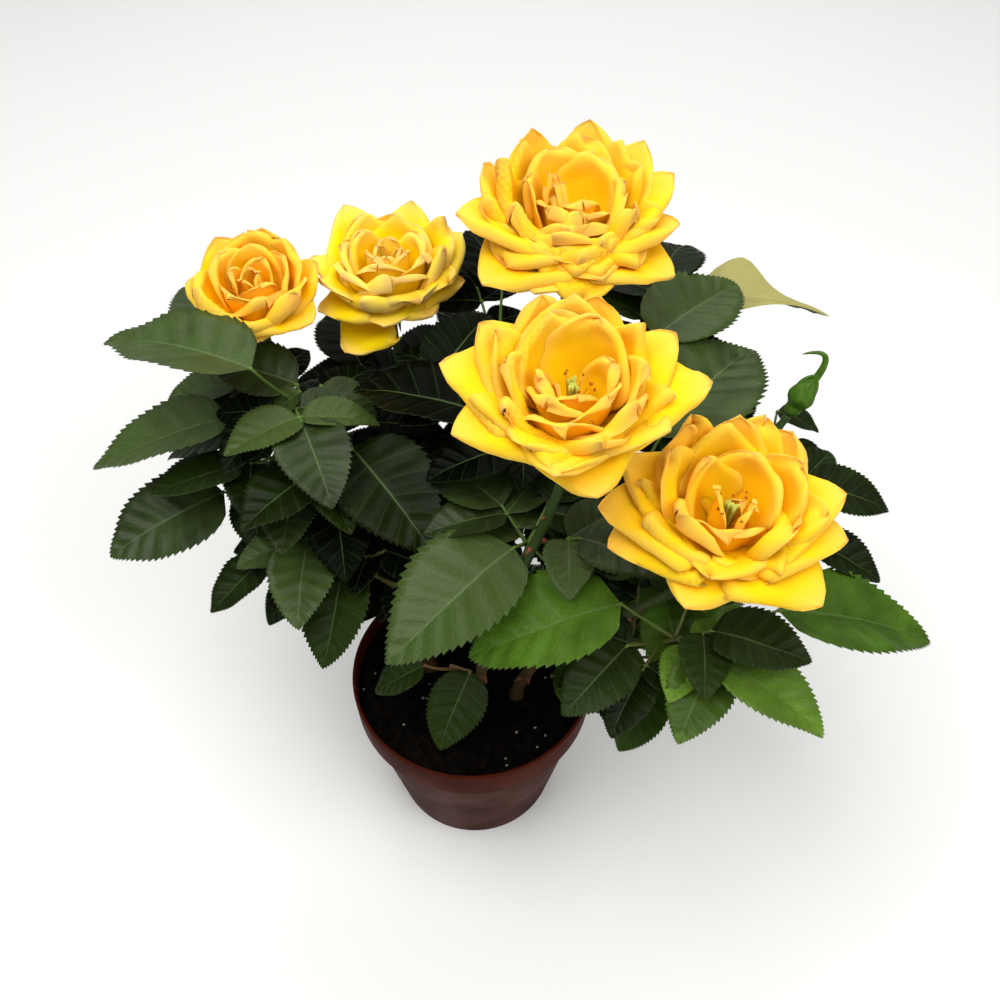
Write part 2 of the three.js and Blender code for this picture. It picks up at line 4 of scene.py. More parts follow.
import bmesh
import bpy
import numpy as np
from bpy.props import FloatProperty, FloatVectorProperty, IntProperty, PointerProperty
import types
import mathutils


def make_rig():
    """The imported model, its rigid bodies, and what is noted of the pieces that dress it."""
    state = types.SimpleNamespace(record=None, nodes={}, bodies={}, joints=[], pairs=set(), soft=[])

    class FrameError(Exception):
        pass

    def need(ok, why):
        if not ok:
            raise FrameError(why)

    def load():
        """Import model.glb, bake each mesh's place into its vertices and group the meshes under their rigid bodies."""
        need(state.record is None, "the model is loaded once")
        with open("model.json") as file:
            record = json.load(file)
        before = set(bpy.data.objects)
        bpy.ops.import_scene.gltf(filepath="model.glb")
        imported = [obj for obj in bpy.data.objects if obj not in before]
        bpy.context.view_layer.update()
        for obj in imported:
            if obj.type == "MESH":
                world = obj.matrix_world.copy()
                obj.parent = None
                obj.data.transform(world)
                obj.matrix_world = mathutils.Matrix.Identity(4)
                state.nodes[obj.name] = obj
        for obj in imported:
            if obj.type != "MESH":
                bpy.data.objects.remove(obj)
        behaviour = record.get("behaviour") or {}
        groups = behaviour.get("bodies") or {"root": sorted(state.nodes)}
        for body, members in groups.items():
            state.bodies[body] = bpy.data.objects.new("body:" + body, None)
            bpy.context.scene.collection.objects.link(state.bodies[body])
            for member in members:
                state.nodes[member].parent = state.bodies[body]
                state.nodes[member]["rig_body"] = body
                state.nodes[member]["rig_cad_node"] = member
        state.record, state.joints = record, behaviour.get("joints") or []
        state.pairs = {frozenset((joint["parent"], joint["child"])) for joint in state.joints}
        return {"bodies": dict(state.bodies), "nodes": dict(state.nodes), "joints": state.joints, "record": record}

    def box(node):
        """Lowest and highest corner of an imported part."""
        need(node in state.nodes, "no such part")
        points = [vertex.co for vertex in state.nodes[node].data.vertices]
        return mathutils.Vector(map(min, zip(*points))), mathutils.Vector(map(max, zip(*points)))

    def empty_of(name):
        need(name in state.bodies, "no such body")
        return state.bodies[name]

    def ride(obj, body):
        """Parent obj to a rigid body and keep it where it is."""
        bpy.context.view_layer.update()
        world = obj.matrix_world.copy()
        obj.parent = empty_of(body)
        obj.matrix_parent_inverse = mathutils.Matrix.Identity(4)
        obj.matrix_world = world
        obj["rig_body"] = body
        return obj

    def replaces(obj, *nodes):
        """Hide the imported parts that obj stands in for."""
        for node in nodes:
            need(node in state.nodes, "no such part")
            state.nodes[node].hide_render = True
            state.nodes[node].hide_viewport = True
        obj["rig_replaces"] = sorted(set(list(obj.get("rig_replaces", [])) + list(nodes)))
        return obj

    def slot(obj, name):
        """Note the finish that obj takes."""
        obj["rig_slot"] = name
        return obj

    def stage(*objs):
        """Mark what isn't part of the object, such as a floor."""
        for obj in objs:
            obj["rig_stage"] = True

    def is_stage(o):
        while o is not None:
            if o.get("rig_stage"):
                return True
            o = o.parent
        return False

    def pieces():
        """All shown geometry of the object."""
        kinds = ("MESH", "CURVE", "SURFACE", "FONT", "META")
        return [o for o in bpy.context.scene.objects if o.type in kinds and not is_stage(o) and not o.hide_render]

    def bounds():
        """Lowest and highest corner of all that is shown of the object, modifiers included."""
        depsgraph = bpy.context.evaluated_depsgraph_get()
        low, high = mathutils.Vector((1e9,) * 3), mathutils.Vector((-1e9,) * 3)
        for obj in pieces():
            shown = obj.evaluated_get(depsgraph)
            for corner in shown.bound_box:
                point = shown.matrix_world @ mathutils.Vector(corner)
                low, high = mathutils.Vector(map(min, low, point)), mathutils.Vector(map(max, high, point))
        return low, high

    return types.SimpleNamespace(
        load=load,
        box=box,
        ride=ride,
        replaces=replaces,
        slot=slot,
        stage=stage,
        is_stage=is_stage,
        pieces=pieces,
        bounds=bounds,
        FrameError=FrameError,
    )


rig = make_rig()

bl_info = {
    "name": "Potted Rose Bush",
    "version": (1, 0, 0),
    "blender": (4, 5, 0),
    "location": "3D View > Sidebar > Rose",
    "description": "Dresses a rose bush in a nursery pot with petals, leaves, bark and soil",
    "category": "Object",
}

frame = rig.load()
CAD_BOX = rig.bounds()
MM = 0.001

# ---- Sizes of the plant, in millimetres and degrees, on the same rules as its solids ----

POT = {"rim": 52.5, "height": 84, "foot": 37, "band": 16, "step": 3, "wall": 1.5, "floor": 2.5}
DRAIN = {"count": 6, "ring": 24, "radius": 4}
SOIL_LEVEL = POT["height"] - 8
GROUND = SOIL_LEVEL + 0.3
SOIL_GRID = (44, 120)  # rings of its top and points round them
CANE = {"foot": 2.6, "neck": 1.5, "flare": 1.35, "flare_length": 9, "stations": 110, "node_gap": 21, "node": 0.14}
SHOOT = {"foot": 1.3, "neck": 0.8}
RACHIS = {"foot": 0.75, "neck": 0.5}
LEAFLET = {"aspect": 0.33, "fold": 0.25, "arch": 0.22}
PAIRS = ((0.8, 0.8, 66), (0.42, 0.62, 78))
FILL = {"seed": 43, "tries": 12, "rise": (-4, 46), "reach": (14, 32), "blade": (32, 46)}
HIP = {"radius": 4.2, "height": 9}
PRICKLES = {"each": 11, "span": (0.06, 0.86), "size": (2.0, 3.6)}
# Lumps strewn on the soil: how many, their height over it, their radius and the seed of their shapes.
CRUMBS = (520, (-0.2, 0.5), (0.5, 1.5), 5)
PERLITE = (34, (0.2, 0.9), (0.35, 0.95), 6)
PETAL_GRID = (22, 23)  # rows from foot to tip, and columns across
ROLL = {"share": 0.22, "least": 0.7}  # radius of a rolled margin, from its width
SEPALS = {"each": 5, "length": 15, "start": 7.5, "width": 2.3}
GOLDEN_ANGLE = 137.5  # degrees between one stamen and the next on their spiral
# The half width of the young leaf: a bell round a share of its length, over a long tail.
YOUNG_OUTLINE = {"bell": 0.85, "middle": 0.36, "spread": 0.2, "tail": 0.27}

# Each bloom: foot of the hip, lean of the axis (degrees, azimuth), heart (radius, height, hollow) and the outer
# petals (azimuth, reach, height of the tip). Then what the solids leave out: the petals inside (azimuth, reach,
# height, half width, width of the rolled rim), their finish, how round their tips are, how many stamens, and how
# many small curled petals stand beside them, and on which side.
BLOOMS = {
    "bloom_left": {
        "foot": (-82, 79, 206), "lean": (4, -100), "heart": (17, 32, 5),
        "petals": ((128, 28, 30), (167, 29, 20), (-150, 23, 18), (-85, 21, 14), (-30, 27, 17), (25, 26, 26),
                   (85, 22, 34)),
        "inside": ((0, 3, 30, 5, 0.8), (120, 4, 30, 5, 0.8), (240, 4, 30, 5, 0.8), (60, 7, 31, 8, 1.2),
                   (180, 7, 31, 8, 1.2), (300, 8, 30, 8, 1.2), (95, 12, 33, 12, 2), (30, 13, 32, 12, 2),
                   (150, 13, 33, 12, 2.5), (-120, 12, 29, 13, 2.5), (-60, 13, 28, 13, 3), (-160, 19, 28, 17, 4),
                   (-25, 18, 28, 15, 3.5), (100, 17, 35, 17, 3), (50, 17, 34, 14, 3), (-95, 18, 22, 16, 4)),
        "finish": "amber", "round": 1.25, "stamens": 0, "curls": 0, "curl_way": 0,
    },
    "bloom_left_back": {
        "foot": (-32, 92, 203), "lean": (4, 90), "heart": (19, 34, 6),
        "petals": ((76, 33, 36), (42, 38, 25), (10, 30, 14), (-42, 24, 12), (-92, 24, 12), (-134, 26, -4),
                   (-160, 30, 10), (172, 32, 25), (123, 37, 35)),
        "inside": ((90, 7, 33, 8, 1.2), (210, 8, 33, 8, 1.2), (330, 8, 33, 8, 1.2), (150, 5, 32, 6, 1),
                   (20, 4, 31, 5, 1), (270, 4, 31, 5, 1), (-100, 12, 33, 12, 2), (40, 13, 34, 12, 2),
                   (140, 13, 35, 12, 2), (-30, 15, 33, 13, 2.2), (180, 16, 34, 13, 2.5), (-80, 18, 31, 16, 3),
                   (-140, 19, 30, 15, 3), (80, 18, 37, 16, 3), (0, 20, 33, 15, 3), (120, 20, 37, 15, 3),
                   (-55, 22, 26, 16, 4), (-112, 22, 24, 16, 4), (-15, 24, 27, 15, 4), (-165, 25, 26, 15, 4),
                   (40, 25, 35, 15, 4)),
        "finish": "lemon", "round": 1.1, "stamens": 0, "curls": 3, "curl_way": 180,
    },
    "bloom_front": {
        "foot": (33, -20, 242), "lean": (6, -90), "heart": (21, 36, 16),
        "petals": ((163, 41, 22), (-161, 37, 18), (-101, 31, 22), (-78, 31, 12), (5, 41, 22), (-30, 31, 24),
                   (30, 36, 28), (72, 25, 38), (110, 25, 38), (145, 33, 32)),
        "inside": ((-85, 7, 29, 9, 1.8), (-160, 9, 32, 9, 1.8), (15, 10, 32, 9, 1.8), (62, 15, 38, 17, 2.6),
                   (112, 16, 38, 18, 2.6), (-125, 12, 32, 12, 2.2), (-52, 13, 32, 12, 2.2), (178, 17, 34, 13, 3),
                   (0, 18, 34, 13, 3), (-98, 17, 30, 15, 3), (-38, 19, 31, 14, 3.5), (-148, 20, 30, 14, 3.5),
                   (150, 22, 34, 14, 4), (35, 22, 35, 14, 4), (-72, 22, 29, 16, 3.5), (-122, 24, 28, 16, 4),
                   (-10, 26, 28, 15, 4), (-172, 28, 27, 15, 4), (90, 20, 39, 18, 3.5), (-98, 28, 26, 17, 4.5)),
        "finish": "gold", "round": 1.0, "stamens": 8, "curls": 2, "curl_way": 150,
    },
    "bloom_right": {
        "foot": (82, -34, 206), "lean": (6, -80), "heart": (20, 36, 18),
        "petals": ((6, 36, 26), (-12, 37, 18), (-46, 38, 12), (-118, 31, 10), (-167, 38, 14), (177, 40, 20),
                   (154, 36, 28), (122, 25, 38), (84, 22, 42), (45, 27, 38)),
        "inside": ((180, 5, 33, 6, 1.5), (-25, 5, 29, 6, 3), (58, 13, 36, 16, 2.4), (125, 12, 35, 12, 2.4),
                   (90, 19, 39, 17, 3), (150, 19, 37, 15, 4), (22, 20, 36, 15, 3), (-28, 15, 31, 17, 5.5),
                   (-100, 10, 27, 12, 3.5), (-160, 15, 31, 13, 4), (-8, 26, 29, 15, 4), (-60, 23, 24, 16, 4),
                   (-110, 22, 22, 17, 4), (-165, 25, 26, 15, 4.5), (168, 26, 30, 14, 4), (65, 24, 38, 15, 4),
                   (112, 24, 37, 15, 4)),
        "finish": "gold", "round": 1.0, "stamens": 14, "curls": 1, "curl_way": 20,
    },
    "bloom_top": {
        "foot": (37, 74, 238), "lean": (3, 90), "heart": (21, 40, 12),
        "petals": ((-171, 41, 28), (160, 33, 38), (122, 26, 46), (76, 32, 45), (45, 40, 38), (17, 39, 34),
                   (-6, 39, 22), (-30, 42, 12), (-72, 32, 16), (-112, 35, 12), (-138, 42, 13)),
        "inside": ((-70, 8, 33, 12, 2.6), (-128, 11, 32, 12, 3), (178, 14, 38, 11, 3), (60, 15, 40, 15, 3),
                   (112, 16, 41, 14, 3), (0, 16, 36, 12, 3), (-92, 16, 29, 15, 4), (-85, 33, 13, 16, 5),
                   (-152, 20, 31, 14, 4.5), (-75, 12, 31, 14, 3.5), (-110, 19, 28, 16, 4.5), (-68, 20, 28, 16, 4.5),
                   (-88, 24, 24, 17, 5), (-70, 29, 19, 16, 5), (-108, 29, 18, 16, 5), (165, 22, 40, 15, 5),
                   (80, 21, 43, 17, 4), (25, 24, 38, 15, 5), (-25, 20, 31, 14, 5), (-60, 23, 25, 15, 5),
                   (-115, 24, 24, 16, 5), (-10, 28, 30, 14, 5), (-170, 28, 32, 14, 5),
                   (130, 24, 41, 15, 4), (50, 27, 40, 15, 4), (-90, 28, 20, 16, 5), (-45, 31, 20, 15, 5),
                   (-138, 31, 20, 16, 5)),
        "finish": "gold", "round": 1.25, "stamens": 0, "curls": 9, "curl_way": 180,
    },
}
BUD = {"foot": (122, 40, 198), "lean": (24, 20), "radius": 5.4, "length": 17, "tail": 13}
CANES = {
    "cane_left": ((-19, 5), "bloom_left"),
    "cane_left_back": ((-11, 19), "bloom_left_back"),
    "cane_front": ((2, -14), "bloom_front"),
    "cane_right": ((19, -9), "bloom_right"),
    "cane_top": ((9, 17), "bloom_top"),
    "cane_bud": ((23, 9), "bud"),
}

# Each mass of leaves: its cane, the share of the cane that its shoot leaves from, the shoot's tip, how many
# filling leaves it has, and its outer leaves (share of the shoot, start of the blade, azimuth, dip, length).
FOLIAGE = {
    "foliage_left_high": ("cane_left", 0.7, (-68, 46, 200), 1, (
        (1, (-76, 32, 227), 162, 3, 61), (0.9, (-92, 66, 206), 127, -6, 46), (0.8, (-66, 52, 202), 163, -4, 38),
        (0.7, (-64, 46, 204), -148, 34, 24), (0.6, (-58, 55, 199), -25, 20, 26))),
    "foliage_left": ("cane_left", 0.56, (-76, 44, 184), 3, (
        (1, (-92, 42, 194), -158, 8, 54), (0.8, (-91, 48, 180), -166, 14, 32), (0.7, (-93, 70, 188), -173, 15, 34),
        (0.5, (-72, 46, 174), -106, 40, 20))),
    "foliage_left_low": ("cane_left", 0.42, (-76, 30, 158), 3, (
        (1, (-98, 30, 165), -150, 13, 50), (0.95, (-90, 38, 158), -73, 22, 28))),
    "foliage_front_left": ("cane_left_back", 0.62, (-44, 34, 184), 3, (
        (1, (-44, 28, 192), -52, 15, 54), (0.9, (-52, 24, 172), -80, 20, 38), (0.8, (-48, 28, 191), -167, 16, 28))),
    "foliage_front_left_low": ("cane_front", 0.3, (-46, 10, 146), 3, (
        (1, (-49, 6, 150), -101, 28, 42), (0.9, (-62, 13, 141), -142, 24, 26), (0.8, (-57, 18, 162), -176, 15, 29),
        (0.95, (-68, 10, 136), -131, 30, 24))),
    "foliage_middle": ("cane_top", 0.62, (4, 34, 196), 3, (
        (1, (8, 30, 206), 163, 1, 54), (0.8, (16, 21, 199), -155, 6, 34), (0.9, (-12, 50, 206), 60, -7, 40))),
    "foliage_front": ("cane_front", 0.62, (22, -8, 180), 3, (
        (1, (17, -16, 186), -138, 14, 60), (0.8, (20, -6, 180), 146, 4, 38), (0.7, (27, 0, 172), -21, 12, 36),
        (0.85, (32, 10, 185), -49, 22, 38))),
    "foliage_front_right": ("cane_right", 0.56, (75, -36, 159), 3, (
        (1, (53, -39, 184), -167, 15, 55), (0.7, (73, -18, 158), -80, 22, 37), (0.97, (112, -28, 165), -6, 11, 58),
        (0.9, (106, -25, 156), -80, 25, 34))),
    "foliage_right": ("cane_bud", 0.6, (112, 18, 170), 2, (
        (1, (130, 4, 166), -28, 16, 30), (0.9, (126, 42, 182), -57, 26, 24), (0.95, (121, 50, 190), -25, 14, 18))),
    "foliage_right_high": ("cane_bud", 0.66, (66, 18, 194), 2, ((1, (70, 20, 205), 50, 0, 65),)),
    "foliage_back_right": ("cane_top", 0.74, (66, 74, 202), 2, (
        (1, (72, 68, 212), 43, 0, 52), (0.9, (87, 112, 200), -19, -4, 64))),
    "foliage_back": ("cane_top", 0.6, (12, 86, 200), 4, ((1, (13, 99, 214), 114, -6, 38),)),
    "foliage_back_left": ("cane_left_back", 0.7, (-44, 62, 182), 4, ()),
    "foliage_low_front": ("cane_front", 0.14, (-8, -17, 112), 1, (
        (0.8, (-18, -19, 115), -164, 26, 24), (1, (0, -19, 111), -116, 36, 34))),
    "foliage_low_right": ("cane_right", 0.3, (52, -22, 126), 3, (
        (0.6, (32, -30, 125), -10, 13, 36), (1, (72, -40, 133), -132, 37, 29), (0.9, (84, -24, 129), -47, 38, 18))),
    "foliage_low_back": ("cane_top", 0.36, (30, 62, 146), 4, ()),
    "foliage_low_left": ("cane_left_back", 0.36, (-40, 54, 142), 3, ()),
}
# More and smaller leaves inside each mass: how many are tried and kept, their sizes, and the air round them.
INNER = {"tries": 60, "most": 7, "rise": (-30, 50), "reach": (8, 26), "blade": (20, 36), "margin": 2, "apart": 3.2}
YOUNG_LEAF = ("foliage_back_right", 1)  # the mass and number of the outer leaf that is still pale
# The greens count from 0. SPRAY has the one for a mass's outer and filling leaves, and a third of those take the one
# that NEXT_GREEN has for it. The leaves inside the masses are SHADED, a near-black green that is painted shade, or
# LIT_GREEN, a lighter green that is painted light, in the masses named in LIT.
GREENS = 5
YOUNG, UNDERSIDE = GREENS, GREENS + 1  # the finishes after the greens
GLOSS = (0.24, 0.04, 0.14, 0.1, 0.18)  # of each green: green 1, the near-black painted shade deep inside the plant, is dull
SHADED = 1
LIT = ("foliage_left", "foliage_left_low", "foliage_front_right", "foliage_right", "foliage_low_right")
LIT_GREEN = 3  # for the leaves inside the masses at the sides, where light reaches them
# Green 1, given to the masses at the back and low down, is the near-black painted shade of SHADED. Green 3 is partly
# painted shade: it is darkened for the masses in the middle and front, under the blooms.
SPRAY = {
    "foliage_left_high": 0, "foliage_left": 0, "foliage_left_low": 0, "foliage_front_left": 3,
    "foliage_front_left_low": 3, "foliage_middle": 3, "foliage_front": 0, "foliage_front_right": 4,
    "foliage_right": 3, "foliage_right_high": 0, "foliage_back_right": 0, "foliage_back": 1,
    "foliage_back_left": 1, "foliage_low_front": 3, "foliage_low_right": 2, "foliage_low_back": 1,
    "foliage_low_left": 1,
}
NEXT_GREEN = (3, 1, 2, 1, 2)
VEINS = 7  # side veins on each half of a leaflet
TIP_MATCH = 1.5  # a filling leaflet is shown where its solid has a corner this near its tip


# ---- Directions, curves and seeded numbers ----


def unit(v):
    """Vectors along the last axis over their own lengths."""
    return v / np.maximum(np.linalg.norm(v, axis=-1, keepdims=True), 1e-9)


def smooth(t):
    """A soft step: 3t^2 - 2t^3 of t held between 0 and 1."""
    t = np.clip(t, 0, 1)
    return t * t * (3 - 2 * t)


def heading(azimuth, rise):
    """The direction (cos a cos r, sin a cos r, sin r) of an azimuth a and a rise r in degrees."""
    a, r = np.radians(azimuth), np.radians(rise)
    return np.stack(np.broadcast_arrays(np.cos(a) * np.cos(r), np.sin(a) * np.cos(r), np.sin(r)), -1)


def leaning(lean):
    """The turn that tips +Z by some degrees towards an azimuth, by Rodrigues' formula I + sin K + (1 - cos) K^2."""
    tip, way = np.radians(lean)
    x, y = -np.sin(way), np.cos(way)
    k = np.array([[0, 0, y], [0, 0, -x], [-y, x, 0]])
    return np.eye(3) + np.sin(tip) * k + (1 - np.cos(tip)) * k @ k


def bezier(points, t):
    """A Bezier curve: its control points weighed by the Bernstein polynomials of t."""
    n, t = len(points) - 1, np.asarray(t, float)[..., None]
    return sum(math.comb(n, k) * t**k * (1 - t) ** (n - k) * np.asarray(p, float) for k, p in enumerate(points))


def time_at(points, share):
    """Where on a Bezier curve a share of its length has passed, read from 200 chords."""
    t = np.linspace(0, 1, 201)
    run = np.concatenate([[0], np.cumsum(np.linalg.norm(np.diff(bezier(points, t), axis=0), axis=1))])
    return np.interp(np.asarray(share, float) * run[-1], run, t)


def along_curve(points, share):
    """Points at shares of a Bezier curve's length."""
    return bezier(points, time_at(points, share))


def slope(points, share):
    """The unit tangent at shares of a Bezier curve's length, from two points close to each."""
    t = time_at(points, share)
    return unit(bezier(points, np.minimum(t + 1e-4, 1)) - bezier(points, np.maximum(t - 1e-4, 0)))


def stream(seed):
    """A seeded stream of numbers from 0 to 1, by 32-bit mixing, the same as in the part's own source."""
    whole = 0xFFFFFFFF
    state = seed & whole

    def draw():
        nonlocal state
        state = (state + 0x6D2B79F5) & whole
        t = ((state ^ (state >> 15)) * (1 | state)) & whole
        t = ((t + (((t ^ (t >> 7)) * (61 | t)) & whole)) & whole) ^ t
        return ((t ^ (t >> 14)) & whole) / 4294967296

    return draw


def mix(a, b, t):
    return a + (b - a) * t


def ripple(points, size, seed, waves=16):
    """Soft noise from -1 to 1: the mean of seeded sine waves about size long, each running its own way."""
    rng = np.random.default_rng(seed)
    ways = unit(rng.normal(size=(waves, 3))) * (2 * np.pi / size) * rng.uniform(0.6, 1.6, (waves, 1))
    return np.sin(points @ ways.T + rng.uniform(0, 2 * np.pi, waves)).mean(-1) * 1.6


# ---- Meshes ----


class Skin:
    """Gathers closed grids of points in millimetres, then makes one smooth mesh of them."""

    def __init__(self):
        self.points, self.corners, self.maps, self.finishes, self.tones = [], [], [], [], []
        self.count = 0

    def add(self, points, maps, finish=0, tone=0.5):
        """Grids (L, rows, columns, 3) whose last column joins the first. maps has a column more than points.
        finish is a number for all, or one for each grid, or an array (L, 1 or rows - 1, columns)."""
        points = np.asarray(points, float)
        points = points[None] if points.ndim == 3 else points
        count, rows, columns, _ = points.shape
        number = self.count + np.arange(count * rows * columns).reshape(count, rows, columns)
        right = np.roll(number, -1, axis=2)
        quads = np.stack([number[:, :-1], right[:, :-1], right[:, 1:], number[:, 1:]], -1)
        maps = np.broadcast_to(maps, (count, rows, columns + 1, 2))
        around = np.stack([maps[:, :-1, :-1], maps[:, :-1, 1:], maps[:, 1:, 1:], maps[:, 1:, :-1]], -2)
        finish = np.asarray(finish)
        finish = finish[:, None, None] if finish.ndim == 1 else finish
        tone = np.broadcast_to(np.reshape(tone, (-1, 1)), (count, rows * columns))
        self.points.append(points.reshape(-1, 3))
        self.corners.append(quads.reshape(-1, 4))
        self.maps.append(around.reshape(-1, 2))
        self.finishes.append(np.broadcast_to(finish, quads.shape[:3]).reshape(-1))
        self.tones.append(tone.reshape(-1))
        self.count += points.shape[0] * rows * columns

    def piece(self, name, materials, replaced, slot):
        """Makes the mesh, merges the corners that fall together at its seams and tips, and puts it in the scene, on
        the plant's one body, in place of the solids it stands for."""
        data = bpy.data.meshes.new(name)
        corners = np.concatenate(self.corners)
        data.vertices.add(self.count)
        data.vertices.foreach_set("co", (np.concatenate(self.points) * MM).ravel())
        data.loops.add(corners.size)
        data.loops.foreach_set("vertex_index", corners.ravel())
        data.polygons.add(len(corners))
        data.polygons.foreach_set("loop_start", np.arange(len(corners)) * 4)
        data.polygons.foreach_set("material_index", np.concatenate(self.finishes).astype(np.int32))
        data.polygons.foreach_set("use_smooth", np.ones(len(corners), bool))
        data.update(calc_edges=True)
        data.uv_layers.new(name="surface").data.foreach_set("uv", np.concatenate(self.maps).ravel())
        tones = data.attributes.new("tone", "FLOAT", "POINT")
        tones.data.foreach_set("value", np.concatenate(self.tones))
        for material in materials:
            data.materials.append(material)
        whole = bmesh.new()
        whole.from_mesh(data)
        bmesh.ops.remove_doubles(whole, verts=whole.verts, dist=1e-6)
        whole.to_mesh(data)
        whole.free()
        split_faces(data)
        thing = bpy.data.objects.new(name, data)
        bpy.context.scene.collection.objects.link(thing)
        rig.ride(thing, "root")
        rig.replaces(thing, *replaced)
        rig.slot(thing, slot)
        return thing


def split_faces(data):
    """Makes each edge between two finishes a sharp one, so that the two faces of a leaf or petal shade apart."""
    edges = np.empty(len(data.loops), np.int32)
    data.loops.foreach_get("edge_index", edges)
    kinds, corners = np.empty((2, len(data.polygons)), np.int32)
    data.polygons.foreach_get("material_index", kinds)
    data.polygons.foreach_get("loop_total", corners)
    kinds = np.repeat(kinds, corners)
    least, most = np.full(len(data.edges), 99), np.full(len(data.edges), -1)
    np.minimum.at(least, edges, kinds)
    np.maximum.at(most, edges, kinds)
    sharp = data.attributes.new("sharp_edge", "BOOLEAN", "EDGE")
    sharp.data.foreach_set("value", least < most)


def ring_maps(rows, columns):
    """Surface coordinates of a tube: once round it, and from 0 to 1 along it."""
    round_it, along = np.meshgrid(np.linspace(0, 1, columns + 1), np.linspace(0, 1, rows))
    return np.stack([round_it, along], -1)


def limbs(skin, lines, radii, sides, finish=0, tone=0.5, bark=None):
    """Tubes round lines (L, stations, 3): rings of radius times cos and sin on two directions square to the
    line, closed by a ring of no radius at each end. bark gives the radius a factor for each point."""
    lines = np.asarray(lines, float)
    radii = np.broadcast_to(np.asarray(radii, float), lines.shape[:2])
    tangent = unit(np.gradient(lines, axis=1))
    chord = np.abs(lines[:, -1] - lines[:, 0])
    square = np.eye(3)[np.argmin(chord, axis=-1)][:, None]
    across = unit(np.cross(tangent, square))
    up = np.cross(tangent, across)
    angle = np.linspace(0, 2 * np.pi, sides, endpoint=False)
    out = across[:, :, None] * np.cos(angle)[:, None] + up[:, :, None] * np.sin(angle)[:, None]
    rings = lines[:, :, None] + out * radii[:, :, None, None]
    if bark is not None:
        rings = lines[:, :, None] + out * (radii[:, :, None] * bark(rings, angle))[..., None]
    ends = [np.repeat(lines[:, k : k + 1 or None, None], sides, axis=2) for k in (0, -1)]
    points = np.concatenate([ends[0], rings, ends[1]], axis=1)
    skin.add(points, ring_maps(points.shape[1], sides), finish, tone)


def turned(skin, profile, sides, at=(0, 0, 0), turn=np.eye(3), relief=None):
    """A solid of revolution: the profile of radius and height points, which starts and ends on the axis, turned
    once round +Z, then tipped by turn and moved to at. relief moves each point along its radius."""
    profile = np.asarray(profile, float)
    angle = np.linspace(0, 2 * np.pi, sides, endpoint=False)
    radius = np.repeat(profile[:, :1], sides, axis=1)
    if relief is not None:
        radius = radius + relief(profile, angle)
    height = np.repeat(profile[:, 1:], sides, axis=1)
    points = np.stack([radius * np.cos(angle), radius * np.sin(angle), height], -1)
    skin.add(points @ turn.T + np.asarray(at, float), ring_maps(len(profile), sides))


def shell(first, second, u, v):
    """A closed thin sheet as one grid: a face in reverse and then the other, with surface coordinates for both."""
    maps = np.stack(np.broadcast_arrays(0.5 + 0.5 * v, u), -1)
    maps = np.concatenate([maps[:, ::-1], maps, maps[:, -1:]], axis=1)
    return np.concatenate([first[..., ::-1, :], second], axis=-2), maps


def rounded(outline, radius, steps=4):
    """An outline whose inner corners are arcs of a radius: each corner becomes a short quadratic Bezier."""
    outline = np.asarray(outline, float)
    rows = [outline[:1]]
    for before, corner, after in zip(outline[:-2], outline[1:-1], outline[2:]):
        reach = min(radius, 0.45 * np.linalg.norm(before - corner), 0.45 * np.linalg.norm(after - corner))
        start = corner + unit(before - corner) * reach
        end = corner + unit(after - corner) * reach
        rows.append(bezier((start, corner, end), np.linspace(0, 1, steps)))
    return np.concatenate([*rows, outline[-1:]])


# ---- Finishes ----


def linear(colour):
    """An sRGB hex value as linear red, green, blue and alpha."""
    parts = [int(colour[i : i + 2], 16) / 255 for i in (1, 3, 5)]
    return (*[c / 12.92 if c <= 0.04045 else ((c + 0.055) / 1.055) ** 2.4 for c in parts], 1.0)


def feed(node, inputs):
    """Sets a node's inputs, by name or number, to values or to outputs. Another node stands for its first output."""
    for key, value in inputs.items():
        if isinstance(value, bpy.types.Node):
            value = value.outputs[0]
        if isinstance(value, bpy.types.NodeSocket):
            node.id_data.links.new(value, node.inputs[key])
        else:
            node.inputs[key].default_value = value


def put(tree, kind, inputs=None, **fields):
    """Adds a node of a kind with its settings and inputs."""
    node = tree.nodes.new("ShaderNode" + kind)
    for field, value in fields.items():
        setattr(node, field, value)
    feed(node, inputs or {})
    return node


def finish_of(name, roughness, ior=1.5, specular=0.5, **sockets):
    """An empty material with its output and one Principled shader, which it returns with the node tree."""
    material = bpy.data.materials.new(name)
    material.use_nodes = True
    tree = material.node_tree
    tree.nodes.clear()
    first = {"Roughness": roughness, "IOR": ior, "Specular IOR Level": specular}
    shader = put(tree, "BsdfPrincipled", {**first, **sockets})
    put(tree, "OutputMaterial", {"Surface": shader})
    return material, tree, shader


def moulded_plastic(colours):
    """Polypropylene, injection moulded: satin, faintly mottled, with a fine skin."""
    material, tree, shader = finish_of("polypropylene_moulded_satin", 0.5, 1.49, 0.03)
    place = put(tree, "TexCoord").outputs["Object"]
    mottle = put(tree, "TexNoise", {"Vector": place, "Scale": 1 / 0.022, "Detail": 4.0})  # 22 mm patches
    patch = put(tree, "MapRange", {0: mottle, 1: 0.3, 2: 0.7})
    body = put(tree, "Mix", {0: patch, 6: colours.pot, 7: colours.pot_dark}, data_type="RGBA").outputs[2]
    worn = put(tree, "MapRange", {0: mottle, 1: 0.3, 2: 0.7, 3: 0.45, 4: 0.6})
    skin = put(tree, "TexNoise", {"Vector": place, "Scale": 1 / 0.0012, "Detail": 2.0})  # 1.2 mm grain
    bump = put(tree, "Bump", {"Strength": 0.12, "Distance": 0.0002, "Height": skin})
    feed(shader, {"Base Color": body, "Roughness": worn, "Normal": bump})
    return material


